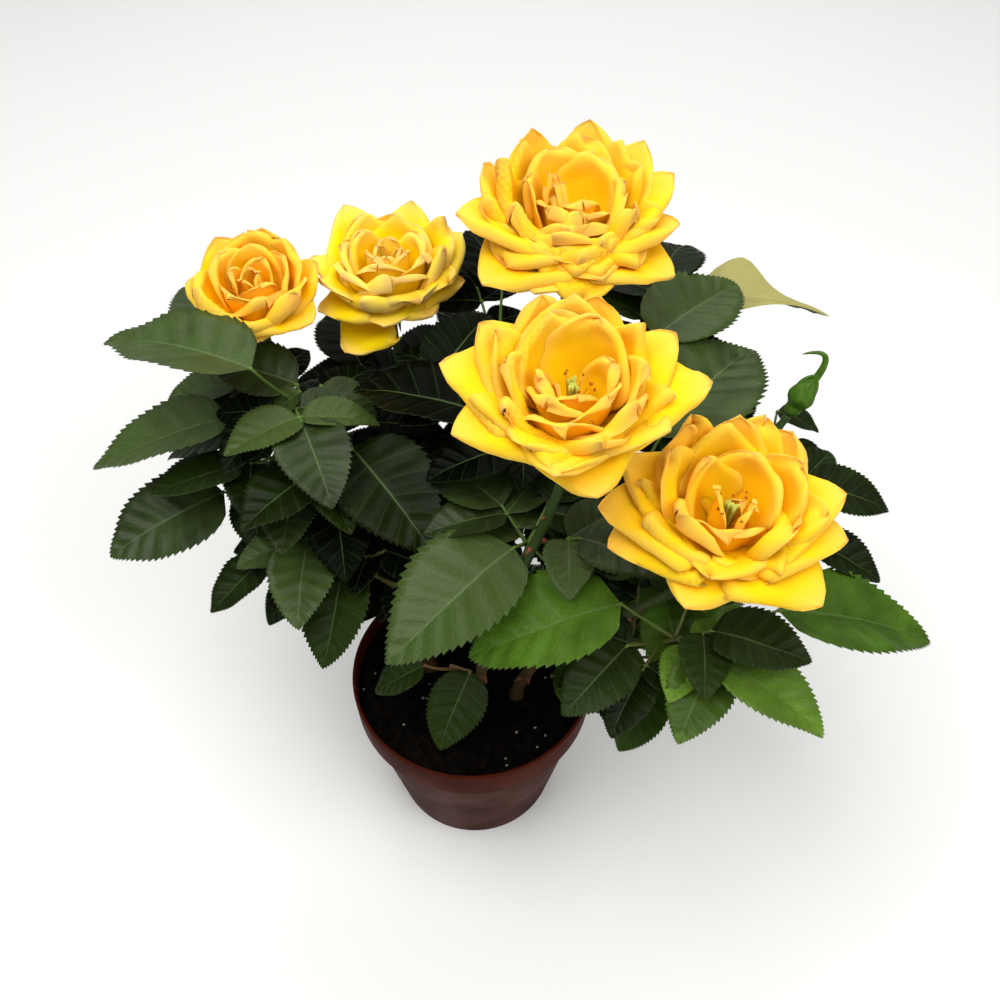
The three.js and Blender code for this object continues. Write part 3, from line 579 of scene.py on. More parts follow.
def mottled(name, first, second, look, grain, share, bump):
    """A finish in patches of two shades. look is its roughness, index and specular level, grain the width of a patch
    in metres and its detail, share where the noise passes from one shade to the other, bump strength and depth."""
    material, tree, shader = finish_of(name, *look)
    place = put(tree, "TexCoord").outputs["Object"]
    patch = put(tree, "TexNoise", {"Vector": place, "Scale": 1 / grain[0], "Detail": grain[1]})
    shade = put(tree, "MapRange", {0: patch, 1: share[0], 2: share[1]})
    body = put(tree, "Mix", {0: shade, 6: first, 7: second}, data_type="RGBA").outputs[2]
    feed(shader, {"Base Color": body})
    if bump:
        feed(shader, {"Normal": put(tree, "Bump", {"Strength": bump[0], "Distance": bump[1], "Height": patch})})
    return material


def stem_skin(name, young, old, rough):
    """Living rose bark: a green waxy skin that browns in streaks along the stem, each 1.6 mm wide."""
    material, tree, shader = finish_of(name, rough, 1.45, 0.3)
    place = put(tree, "TexCoord").outputs["Object"]
    streaks = put(tree, "Mapping", {"Vector": place, "Scale": (1.0, 1.0, 0.12)})
    streak = put(tree, "TexNoise", {"Vector": streaks, "Scale": 1 / 0.0016, "Detail": 4.0})
    height = put(tree, "SeparateXYZ", {0: place}).outputs[2]
    low_down = put(tree, "MapRange", {0: height, 1: 0.19, 2: 0.08})  # brown by 80 mm, green by 190 mm
    shade = put(tree, "Math", {0: streak, 1: low_down}, operation="ADD")
    share = put(tree, "MapRange", {0: shade, 1: 0.55, 2: 1.3})
    bark = put(tree, "Mix", {0: share, 6: young, 7: old}, data_type="RGBA").outputs[2]
    bump = put(tree, "Bump", {"Strength": 0.35, "Distance": 0.0003, "Height": streak})
    feed(shader, {"Base Color": bark, "Normal": bump})
    return material


def leaf_skin(name, dark, light, vein, gloss, veined=1.0):
    """The waxy upper face of a rose leaf: green in 12 mm blotches, with a net of cells 1.5 mm across and paler veins
    that run forward from the midrib. veined is how far net and veins show."""
    material, tree, shader = finish_of(name, 0.4, 1.42, gloss)
    place = put(tree, "TexCoord")
    blotch = put(tree, "TexNoise", {"Vector": place.outputs["Object"], "Scale": 1 / 0.012, "Detail": 4.0})
    tone = put(tree, "Attribute", attribute_name="tone").outputs["Fac"]
    share = put(tree, "Math", {0: blotch, 1: tone}, operation="ADD")
    share = put(tree, "MapRange", {0: share, 1: 0.7, 2: 1.25})
    green = put(tree, "Mix", {0: share, 6: dark, 7: light}, data_type="RGBA").outputs[2]
    cells = put(tree, "TexVoronoi", {"Vector": place.outputs["Object"], "Scale": 1 / 0.0015},
                feature="DISTANCE_TO_EDGE")
    groove = put(tree, "MapRange", {0: cells, 1: 0.0, 2: 0.16, 3: 0.32 * veined, 4: 0.0})
    green = put(tree, "Mix", {0: groove, 6: green, 7: dark}, data_type="RGBA").outputs[2]
    split = put(tree, "SeparateXYZ", {0: place.outputs["UV"]})
    turns = put(tree, "Math", {0: split.outputs[1], 1: float(VEINS)}, operation="MULTIPLY")
    turns = put(tree, "Math", {0: turns}, operation="FRACT")
    lines = []
    # A side vein and then the midrib, where x is 0.5: |x - 0.5| from one width to another, and how far each shows.
    for course, start, end, shown in ((turns, 0.0, 0.07, 0.09), (split, 0.006, 0.02, 0.45)):
        off = put(tree, "Math", {0: course, 1: 0.5}, operation="SUBTRACT")
        off = put(tree, "Math", {0: off}, operation="ABSOLUTE")
        lines.append(put(tree, "MapRange", {0: off, 1: start, 2: end, 3: shown * veined, 4: 0.0}))
    veins = put(tree, "Math", {0: lines[0], 1: lines[1]}, operation="MAXIMUM")
    face = put(tree, "Mix", {0: veins, 6: green, 7: vein}, data_type="RGBA").outputs[2]
    bump = put(tree, "Bump", {"Strength": 0.4, "Distance": 0.0003, "Height": cells})
    feed(shader, {"Base Color": face, "Normal": bump})
    return material


def petal_skin(name, base, body, rim, glow):
    """A rose petal: velvety cells with no gloss to speak of, deep at its foot, paler to its margin, and lit through
    from behind because it is so thin. Fibres about 1 mm apart run up it."""
    sockets = {"Subsurface Weight": 0.4, "Subsurface Radius": (1.0, 0.7, 0.15), "Subsurface Scale": 0.002}
    material, tree, shader = finish_of(name, 0.65, 1.38, 0.04, **sockets)
    place = put(tree, "TexCoord").outputs["UV"]
    split = put(tree, "SeparateXYZ", {0: place})
    tone = put(tree, "Attribute", attribute_name="tone").outputs["Fac"]
    fibres = put(tree, "Mapping", {"Vector": place, "Scale": (38.0, 2.0, 1.0)})
    fibre = put(tree, "TexNoise", {"Vector": fibres, "Scale": 1.0, "Detail": 3.0})
    up = put(tree, "Math", {0: fibre, 1: 0.14}, operation="MULTIPLY")
    up = put(tree, "Math", {0: up, 1: split.outputs[1]}, operation="ADD")
    rise = put(tree, "MapRange", {0: up, 1: 0.3, 2: 0.85})
    low = put(tree, "Mix", {0: rise, 6: base, 7: body}, data_type="RGBA").outputs[2]
    side = put(tree, "Math", {0: split, 1: 0.5}, operation="SUBTRACT")
    side = put(tree, "Math", {0: side}, operation="ABSOLUTE")
    tip = put(tree, "MapRange", {0: up, 1: 0.82, 2: 1.06})
    flank = put(tree, "MapRange", {0: side, 1: 0.28, 2: 0.42})
    edge = put(tree, "Math", {0: tip, 1: flank}, operation="MAXIMUM")
    edge = put(tree, "Math", {0: edge, 1: split.outputs[1]}, operation="MULTIPLY")
    edged = put(tree, "Mix", {0: edge, 6: low, 7: rim}, data_type="RGBA").outputs[2]
    shade = put(tree, "Math", {0: tone, 1: 0.3}, operation="MULTIPLY")
    face = put(tree, "Mix", {0: shade, 6: edged, 7: glow}, data_type="RGBA").outputs[2]
    bump = put(tree, "Bump", {"Strength": 0.2, "Distance": 0.0003, "Height": fibre})
    feed(shader, {"Base Color": face, "Normal": bump})
    return material


def soft_tissue(name, first, second, rough):
    """Sepals, stamens and bud skin: soft plant tissue, matt, in patches of two shades 3 mm across."""
    return mottled(name, first, second, (rough, 1.42, 0.25), (0.003, 3.0), (0.35, 0.65), (0.3, 0.0002))


# ---- Pot and soil ----


def inner_wall(gap):
    """The pot's inner wall from the floor up, drawn in by a gap all round, as in the solids."""
    inset = POT["wall"] + gap
    under = POT["height"] - POT["band"]
    return [
        (POT["foot"] - inset, POT["floor"] + gap),
        (POT["rim"] - POT["step"] - inset, under - inset),
        (POT["rim"] - inset - 0.6, under + (2 if gap else 0)),
        (POT["rim"] - inset, POT["height"]),
    ]


def build_pot(sizes, colours):
    """One profile turned round: foot, tapering wall, step, band, lip, then the inner wall down to the floor. Six
    drain bores are cut through the floor."""
    rim, height, foot, step = POT["rim"], POT["height"], POT["foot"], POT["step"]
    under = height - POT["band"]
    outline = [(0, 0.8), (foot - 5, 0.8), (foot - 4, 0), (foot, 0), (rim - step, under), (rim - 0.6, under + 0.4),
               (rim, height), (rim - POT["wall"], height), *inner_wall(0)[2::-1], (0, POT["floor"])]
    skin = Skin()
    turned(skin, rounded(outline, sizes.lip / MM), 128)
    pot = skin.piece("nursery_pot", [moulded_plastic(colours)], ["pot"], "pot")
    bores = Skin()
    for i in range(DRAIN["count"]):
        middle = heading((i + 0.5) / DRAIN["count"] * 360, 0) * DRAIN["ring"]
        line = middle + np.array([[0, 0, -2.0], [0, 0, 6.0]])
        limbs(bores, line[None], DRAIN["radius"], 32)
    cutter = bores.piece("bores", [pot.data.materials[0]], [], "pot")
    cut = pot.modifiers.new("drain", "BOOLEAN")
    cut.operation, cut.object, cut.solver = "DIFFERENCE", cutter, "EXACT"
    graph = bpy.context.evaluated_depsgraph_get()
    pot.data = bpy.data.meshes.new_from_object(pot.evaluated_get(graph))
    pot.modifiers.clear()
    bpy.data.objects.remove(cutter)
    return pot


def pebbles(skin, centres, sizes, seed, finish=0):
    """Small lumps: spheres of 5 by 6 faces, each stretched by its own three factors and pushed by noise."""
    rng = np.random.default_rng(seed)
    polar, angle = np.meshgrid(np.linspace(0, np.pi, 6), np.linspace(0, 2 * np.pi, 6, endpoint=False), indexing="ij")
    ball = np.stack([np.sin(polar) * np.cos(angle), np.sin(polar) * np.sin(angle), -np.cos(polar)], -1)
    stretch = rng.uniform(0.6, 1.25, (len(centres), 1, 1, 3))
    lumps = ball[None] * stretch * np.asarray(sizes)[:, None, None, None]
    lumps = lumps * (1 + 0.22 * ripple(lumps + centres[:, None, None] * 3, 1.6, seed))[..., None]
    lumps[:, [0, -1]] = lumps[:, [0, -1]].mean(axis=2, keepdims=True)
    skin.add(lumps + centres[:, None, None], ring_maps(6, 6), finish)


def build_soil(sizes, colours):
    """The fill: the inner wall's shape with a lumpy top, whose height is two sizes of noise. Crumbs and perlite are
    strewn over it by a seeded rule."""
    low, under, over, top = inner_wall(0.3)
    share = (SOIL_LEVEL - over[1]) / (top[1] - over[1])
    edge = mix(over[0], top[0], share)
    shoulder = [(edge, SOIL_LEVEL - 1)]
    rings, sides = SOIL_GRID
    surface = [(edge * k, SOIL_LEVEL) for k in np.linspace(0.995, 0, rings)]
    profile = np.array([(0, low[1]), low, under, over, *shoulder, *surface])
    angle = np.linspace(0, 2 * np.pi, sides, endpoint=False)
    radius, height = (np.repeat(profile[:, k : k + 1], sides, axis=1) for k in (0, 1))
    points = np.stack([radius * np.cos(angle), radius * np.sin(angle), height], -1)
    lump = 0.75 * ripple(points, 9, 3) + 0.45 * ripple(points, 3.2, 4)
    points[5:, :, 2] += (lump * smooth((edge - radius) / 4))[5:]
    points[[0, -1]] = points[[0, -1]].mean(axis=1, keepdims=True)
    skin = Skin()
    skin.add(points, ring_maps(len(profile), sides))
    specks = Skin()
    rng = np.random.default_rng(8)
    for lumps, (count, height, size, seed) in ((skin, CRUMBS), (specks, PERLITE)):
        spot = heading(rng.uniform(0, 360, count), 0) * (np.sqrt(rng.uniform(0, 1, count)) * (edge - 2))[:, None]
        spot[:, 2] = SOIL_LEVEL + rng.uniform(*height, count)
        pebbles(lumps, spot, rng.uniform(*size, count), seed)
    # Damp peat compost: near black, fibrous and quite matt, with paler bark crumbs 4 mm wide.
    peat = mottled("peat_compost_damp", colours.soil, colours.soil_crumb, (0.95, 1.4, 0.06), (0.004, 6.0), (0.45, 0.72),
                   (0.6, 0.0006))
    skin.piece("soil_fill", [peat], ["soil"], "soil")
    # Expanded perlite: white glassy foam, chalky to the eye, a little stained by the peat.
    foam = mottled("perlite_expanded", colours.perlite, linear("#5f5747"), (0.85,), (0.003, 3.0), (0.4, 0.65), None)
    specks.piece("perlite_specks", [foam], [], "soil")


# ---- Canes, shoots and leaves ----


def cane_line(name):
    """A cane's cubic curve from the soil to the foot of what it carries."""
    foot, load = CANES[name]
    carried = BUD if load == "bud" else BLOOMS[load]
    axis = leaning(carried["lean"])[:, 2]
    start = np.array([*foot, GROUND])
    end = np.array(carried["foot"], float) - 0.3 * axis
    rise = end[2] - start[2]
    bend = start + np.array([0.1 * (end[0] - start[0]), 0.1 * (end[1] - start[1]), 0.45 * rise])
    return start, bend, end - axis * 0.3 * rise, end


def cane_radius(t):
    """The radius at a share of a cane's length, without its flare and its nodes."""
    return mix(CANE["foot"], CANE["neck"], t)


def bark_relief(rings, angle):
    """Bark: faint ridges along the cane and slow swellings, as a factor on the radius."""
    ridges = 0.025 * np.cos(5 * angle + 2 * ripple(rings, 30, 11))
    return 0.97 + ridges + 0.04 * ripple(rings, 5, 12)


def build_canes(sizes, colours):
    """Six tapering tubes with bark relief, flared at the soil, and hooked prickles on them."""
    skin = Skin()
    share = np.linspace(0, 1, CANE["stations"])
    prickle_lines, prickle_radii = [], []
    rng = np.random.default_rng(21)
    for name in CANES:
        control = cane_line(name)
        line = along_curve(control, share)
        line[0] -= (0, 0, 1.6)
        length = np.linalg.norm(np.diff(line, axis=0), axis=1).sum()
        flare = mix(CANE["flare"], 1, np.clip(share * length / CANE["flare_length"], 0, 1))
        nodes = 1 + CANE["node"] * np.exp(-(((share * length / CANE["node_gap"]) % 1 - 0.5) / 0.05) ** 2)
        limbs(skin, line[None], (cane_radius(share) * flare * nodes)[None], 18, 0, rng.uniform(), bark_relief)
        where = rng.uniform(*PRICKLES["span"], PRICKLES["each"])
        way = heading(rng.uniform(0, 360, PRICKLES["each"]), 0)
        axis = slope(control, where)
        out = unit(way - axis * (way * axis).sum(-1, keepdims=True))
        root = along_curve(control, where) + out * (cane_radius(where) * 0.8)[:, None]
        size = rng.uniform(*PRICKLES["size"], (PRICKLES["each"], 1))
        t = np.linspace(0, 1, 5)[:, None]
        hooks = bezier((root, root + out * size * 0.8, root + out * size - axis * size * 0.55), t)
        prickle_lines.append(np.moveaxis(hooks, 0, 1))
        prickle_radii.append(size * np.array([0.42, 0.3, 0.19, 0.09, 0.02]))
    bark = stem_skin("rose_cane_bark", colours.cane, colours.cane_old, 0.5)
    limbs(skin, np.concatenate(prickle_lines), np.concatenate(prickle_radii), 6, 1)
    thorn = soft_tissue("rose_prickle", linear("#7a4a2e"), linear("#5c3a20"), 0.45)
    skin.piece("canes", [bark, thorn], list(CANES), "cane")


def corners_of(node):
    """A solid's corners in millimetres."""
    data = frame["nodes"][node].data
    points = np.empty(len(data.vertices) * 3, np.float32)
    data.vertices.foreach_get("co", points)
    return points.reshape(-1, 3).astype(float) / MM


def level(draw):
    """A seeded direction that is nearly straight up: how a blade's face is turned."""
    azimuth = 360 * draw()
    return heading(azimuth, mix(74, 90, draw()))


def blades_of(start, end, azimuth, dip, length, pairs, draw):
    """The blades of a leaf: the end leaflet, then pairs down the rachis, each (root, along, up, length)."""
    blades = [(end, heading(azimuth, -dip), level(draw), length)]
    course = end - start
    course_way = math.degrees(math.atan2(course[1], course[0]))
    for at, size, spread in PAIRS[:pairs]:
        for side in (1, -1):
            way = course_way + side * (spread + mix(-8, 8, draw()))
            along = heading(way, mix(2, -16, draw()))
            up = level(draw)
            blades.append((mix(start, end, at), along, up, length * size * mix(0.92, 1.06, draw())))
    return blades


def shoot_line(row):
    """A shoot's quadratic curve: square off its cane, from the bark, up to its tip."""
    cane, at, tip = row[:3]
    control = cane_line(cane)
    core, axis = along_curve(control, at), slope(control, at)
    end = np.array(tip, float)
    out = end - core
    out = unit(out - axis * (out @ axis))
    start = core + out * (0.9 * cane_radius(at) + 0.3)
    return start, start + out * 0.45 * np.linalg.norm(start - end), end


def leaves_of(name, number):
    """The outer and filling leaves of a mass as (start, end, blades, is young), by the rule of the solids. A filling
    leaflet is shown where its solid has a corner at its tip, so what was left out there is left out here."""
    row = FOLIAGE[name]
    line = shoot_line(row)
    corners = corners_of(name)

    def built(blade):
        root, along, _, length = blade
        return np.linalg.norm(corners - (root + along * length), axis=1).min() < TIP_MATCH

    leaves = []
    for k, (share, joint, azimuth, dip, length) in enumerate(row[4]):
        draw = stream(100 * number + k)
        start, end = along_curve(line, share), np.array(joint, float)
        blades = blades_of(start, end, azimuth, dip, length, 0, draw)
        leaves.append((start, end, blades, (name, k) == YOUNG_LEAF))
    for k in range(row[3]):
        draw = stream(5000 * FILL["seed"] + 100 * number + k)
        start = along_curve(line, mix(0.4, 1, (k + 1) / row[3]))
        for _ in range(FILL["tries"]):
            azimuth = 360 * draw()
            reach = heading(azimuth, mix(*FILL["rise"], draw())) * mix(*FILL["reach"], draw())
            dip = mix(-4, 18, draw())
            blades = blades_of(start, start + reach, azimuth, dip, mix(*FILL["blade"], draw()), 2, draw)
            if built(blades[0]):
                leaves.append((start, start + reach, [b for b in blades if built(b)], False))
                break
    return line, leaves


def blade_axes(blades):
    """Each blade's root, its directions along, across and out of its face, and its length, set for grids."""
    root, along, up = (np.array([b[i] for b in blades], float)[:, None, None] for i in range(3))
    across = unit(np.cross(up, along))
    return root, along, across, unit(np.cross(along, across)), np.array([b[3] for b in blades], float)[:, None, None]


def spread_points(blades):
    """A few points on each blade, (blades, 35, 3): shares of its length by shares of its half width."""
    root, along, across, face, length = blade_axes(blades)
    u, v = np.meshgrid(np.linspace(0.12, 0.96, 7), np.linspace(-0.8, 0.8, 5))
    half = length * LEAFLET["aspect"]
    rise = LEAFLET["fold"] * np.abs(v) * half + LEAFLET["arch"] * length * u * (1 - u)
    aside = v * half * np.sin(np.pi * u)
    points = root + along * (u * length)[..., None] + across * aside[..., None] + face * rise[..., None]
    return points.reshape(len(blades), -1, 3)


def bloom_points():
    """Points round the hearts of the blooms, where no leaf may stand."""
    angle = np.arange(0, 360, 30)
    rings = []
    for bloom in BLOOMS.values():
        for share in (0.25, 0.5, 0.75, 1):
            ring = heading(angle, 0) * bloom["heart"][0] * share + (0, 0, 6 + 26 * share)
            rings.append(ring @ leaning(bloom["lean"]).T + np.array(bloom["foot"], float))
    return np.concatenate(rings)


def inner_leaves(name, number, line, taken):
    """Smaller leaves inside a mass, between those that its solid has, and the points taken with them. Leaves are
    tried at seeded places. A blade is kept where it stays in the solid's own box and no nearer than a few
    millimetres to what already stands there, and a leaf where its end leaflet and at least half of the others are."""
    low, high = (np.array(corner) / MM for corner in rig.box(name))
    rng = np.random.default_rng(900 + number)
    draw = rng.uniform
    leaves = []
    for _ in range(INNER["tries"]):
        start = along_curve(line, draw(0.15, 1))
        azimuth = draw(0, 360)
        end = start + heading(azimuth, draw(*INNER["rise"])) * draw(*INNER["reach"])
        pairs = int(rng.integers(1, 3))
        blades = blades_of(start, end, azimuth, draw(-8, 30), draw(*INNER["blade"]), pairs, rng.uniform)
        points = spread_points(blades)
        inside = ((points > low - INNER["margin"]) & (points < high + INNER["margin"])).all(axis=(1, 2))
        box_low, box_high = points.min(axis=(0, 1)) - 5, points.max(axis=(0, 1)) + 5
        near = taken[((taken > box_low) & (taken < box_high)).all(axis=1)]
        if not inside[0] or not len(near):
            continue
        apart = np.array([np.linalg.norm(near[:, None] - one[None], axis=-1).min() for one in points])
        good = inside & (apart > INNER["apart"]) & (points[..., 2].min(axis=1) > POT["height"] + 3)
        if good[0] and good.sum() > pairs:
            kept = [blade for blade, fine in zip(blades, good) if fine]
            leaves.append((start, end, kept, False))
            taken = np.concatenate([taken, points[good].reshape(-1, 3)])
        if len(leaves) == INNER["most"]:
            break
    return leaves, taken


def blade_skin(skin, blades, finishes, tones, sizes, seed):
    """Leaflets as thin closed shells. Rows run forward from the midrib with the side veins, by 0.75 |v| u (1 - u),
    and at share m of the length the margin's half width is m^0.5 (1 - m)^0.85, cut by saw teeth. The young leaf has
    no teeth, and its half width is a bell and a tail. The face lifts by a fold times |v| and an arch u (1 - u),
    with a ripple between side veins, a sunk midrib and a wavy margin."""
    root, along, across, face, length = blade_axes(blades)
    rng = np.random.default_rng(seed)
    some = lambda low, high: rng.uniform(low, high, (len(blades), 1, 1))
    teeth = sizes.teeth
    rows = np.concatenate([[0], np.repeat(np.arange(teeth), 2) + np.tile([0.7, 1.0], teeth)]) / teeth
    tip_row = np.concatenate([[0], np.tile([1.0, -1.0], teeth)])
    v = np.array([-1, -0.78, -0.5, -0.2, -0.035, 0.035, 0.2, 0.5, 0.78, 1])
    u, v = np.meshgrid(rows, v, indexing="ij")
    tooth = tip_row[:, None] * smooth(u * 14) * smooth((1 - u) * 16) * smooth((np.abs(v) - 0.78) / 0.22)
    margin = u + 0.75 * u * (1 - u)
    young = (np.asarray(finishes) == YOUNG)[:, None, None]
    tooth = tooth * ~young
    width = margin**0.5 * (1 - margin) ** 0.85 / 0.411 * (1 + 0.04 * tooth)  # 0.411 is the formula's greatest value
    bell = np.exp(-(((margin - YOUNG_OUTLINE["middle"]) / YOUNG_OUTLINE["spread"]) ** 2))
    bell = YOUNG_OUTLINE["bell"] * bell + YOUNG_OUTLINE["tail"]
    width = np.where(young, bell * np.minimum(1, 5 * margin) * (1 - margin**8), width)
    forward = u + 0.75 * np.abs(v) * u * (1 - u) + 0.01 * tooth
    half = length * LEAFLET["aspect"] * 1.04
    veins = -np.cos(2 * np.pi * VEINS * (u + 0.05 * v**2)) * np.sin(np.pi * np.abs(v))
    veins = veins * smooth(u * 6) * smooth((1 - u) * 6)
    rise = LEAFLET["fold"] * np.abs(v) * width * half * some(0.75, 1.2)
    rise = rise + LEAFLET["arch"] * length * forward * (1 - forward)
    rise = rise + 0.011 * length * veins - 0.004 * length * np.exp(-((v / 0.12) ** 2)) * np.sin(np.pi * u)
    wave = np.sin(2 * np.pi * (some(1.2, 2.2) * u + 0.25 * v) + some(0, 6.3))
    rise = rise + some(0.004, 0.02) * length * v**2 * wave * np.sin(np.pi * u)
    rise = rise + some(-0.1, 0.1) * half * v * np.sin(np.pi * u)
    bend = some(-0.05, 0.05) * length * np.sin(np.pi * u) * u
    middle = root + along * (forward * length)[..., None] + across * (v * width * half + bend)[..., None]
    middle = middle + face * rise[..., None]
    middle = middle + face * (0.3 * ripple(middle, 10, 31) * (1 - 0.5 * v**2))[..., None]
    thick = sizes.leaf / MM / 2 * (1 - 0.6 * np.abs(v) ** 6) * smooth(u * 14) * smooth((1 - u) * 14)
    points, maps = shell(middle + face * thick[..., None], middle - face * thick[..., None], u, v)
    upper = np.repeat(np.asarray(finishes)[:, None, None], v.shape[1], axis=2)
    under = np.full(upper.shape, UNDERSIDE)
    skin.add(points, maps, np.concatenate([upper, under], axis=2), tones)


def stalk_lines(start, end, blades, rng):
    """A leaf's rachis, sagging a little between its ends, and a short stalk under each leaflet."""
    t = np.linspace(0, 1, 9)
    sag = np.array([0, 0, -0.04 * np.linalg.norm(end - start)]) + rng.uniform(-0.7, 0.7, 3)
    lines = [bezier((start, (start + end) / 2 + sag, end), t)]
    for root, along, _, length in blades:
        lines.append(bezier((root - along * 0.4, root + along * 0.02 * length, root + along * 0.07 * length), t))
    return lines


LEAF_PIECES = {
    "leaves_left": ("foliage_left_high", "foliage_left", "foliage_left_low", "foliage_low_left",
                    "foliage_front_left", "foliage_front_left_low", "foliage_back_left"),
    "leaves_middle": ("foliage_middle", "foliage_front", "foliage_back", "foliage_low_front", "foliage_low_back"),
    "leaves_right": ("foliage_front_right", "foliage_right", "foliage_right_high", "foliage_back_right",
                     "foliage_low_right"),
}


def build_leaves(sizes, colours):
    """Leaflets joined into three pieces by the side of the plant, and all shoots and leaf stalks into one."""
    finishes = []
    for k, gloss in enumerate(GLOSS, 1):
        green = getattr(colours, f"leaf_{k}")
        dark = (*[0.34 * c for c in green[:3]], 1.0)
        finishes.append(leaf_skin(f"rose_leaf_waxy_{k}", dark, green, colours.vein, gloss))
    finishes.append(leaf_skin("rose_leaf_young", colours.young, linear("#8f8b52"), colours.young, 0.1, 0.0))
    finishes.append(soft_tissue("rose_leaf_underside", colours.underside, linear("#566a44"), 0.65))
    rng = np.random.default_rng(5)
    names = list(FOLIAGE)
    wood = Skin()
    plans = {name: leaves_of(name, number) for number, name in enumerate(names, 1)}
    canes = [along_curve(cane_line(cane), np.linspace(0, 1, 40)) for cane in CANES]
    grown = [blade for _, leaves in plans.values() for leaf in leaves for blade in leaf[2]]
    taken = np.concatenate([*canes, spread_points(grown).reshape(-1, 3), bloom_points()])
    outer = {name: len(leaves) for name, (_, leaves) in plans.items()}
    for number, name in enumerate(names, 1):
        more, taken = inner_leaves(name, number, plans[name][0], taken)
        plans[name][1].extend(more)
    for piece, masses in LEAF_PIECES.items():
        skin = Skin()
        for name in masses:
            number = names.index(name) + 1
            line, leaves = plans[name]
            t = np.linspace(0, 1, 26)
            limbs(wood, along_curve(line, t)[None], mix(SHOOT["foot"], SHOOT["neck"], t)[None], 10)
            blades, kinds, tones, stalks = [], [], [], []
            for k, (start, end, leaf, is_young) in enumerate(leaves):
                green = NEXT_GREEN[SPRAY[name]] if rng.uniform() < 0.33 else SPRAY[name]
                inside = LIT_GREEN if name in LIT else SHADED
                green = YOUNG if is_young else green if k < outer[name] else inside
                blades += leaf
                kinds += [green] * len(leaf)
                tones += list(rng.uniform(0.1, 0.9, len(leaf)))
                stalks += stalk_lines(start, end, leaf, rng)
            limbs(wood, np.array(stalks), np.linspace(RACHIS["foot"], RACHIS["neck"], 9), 7)
            blade_skin(skin, blades, kinds, tones, sizes, number)
        skin.piece(piece, finishes, list(masses), "leaf")
    shoot = stem_skin("rose_shoot_skin", colours.shoot, colours.shoot_blush, 0.45)
    wood.piece("shoots_and_leaf_stalks", [shoot], names, "leaf")


# ---- Blooms and bud ----


def petal_spine(reach, height):
    """The middle line of a petal as four control points (radius, height). A low petal bends back over, and a steep
    one cups up and swells a little below its rim."""
    start = np.array([2.0, HIP["height"] - 3])
    cup = np.clip((math.degrees(math.atan2(height - start[1], reach)) - 20) / 36, 0, 1)
    knee = np.array([mix(0.5, 0.95, cup) * reach, mix(height + 6, 0.35 * height, cup)])
    knee[0] += 0.12 * max(20 - reach, 0) * cup
    tip = np.array([reach, height])
    return (start, mix(start, knee, 2 / 3), mix(tip, knee, 2 / 3), tip), float(cup)


def petals_of(bloom, seed):
    """Every petal of a bloom as a row: azimuth, spine, half width, cup, width of the rolled margin, whether its tip
    is free of that roll (1 or 0), ruffle, tone and bluntness. Outer petals have free, pointed tips. The rims of the
    petals inside are rolled back all round. Small curled petals stand in the middle of some blooms."""
    rng = np.random.default_rng(seed)
    radius, height, hollow = bloom["heart"]
    rows = []
    for azimuth, reach, tip in bloom["petals"]:
        spine, cup = petal_spine(reach, tip)
        wide = 0.38 * math.hypot(reach, 0.6 * tip) + 3
        rows.append((azimuth, spine, wide, mix(0.3, 0.8, cup), mix(8.0, 7.0, cup), 1.0, 1.0, 0.1,
                     0.95 * bloom["round"]))
    for azimuth, reach, tip, wide, roll in bloom["inside"]:
        spine, cup = petal_spine(reach, tip)
        inner = np.clip(1 - reach / 24, 0, 1)
        roll = roll * mix(1.8, 0.9, inner) * rng.uniform(0.9, 1.2)
        rows.append((azimuth, spine, wide * 1.2, mix(0.5, 0.95, cup), roll, 0.0, mix(0.7, 1.9, inner),
                     0.15 + 0.6 * inner, mix(rng.uniform(1.35, 1.8), 2.4, inner) * bloom["round"]))
    for _ in range(bloom["curls"]):
        reach = radius * rng.uniform(0.12, 0.42)
        spine, _ = petal_spine(reach, height - hollow * rng.uniform(0.0, 0.6))
        azimuth = bloom["curl_way"] + rng.uniform(-75, 75)
        rows.append((azimuth, spine, rng.uniform(4, 8), 0.7, 1.6, 0.0, 1.8, 0.2, 1.6))
    return rows


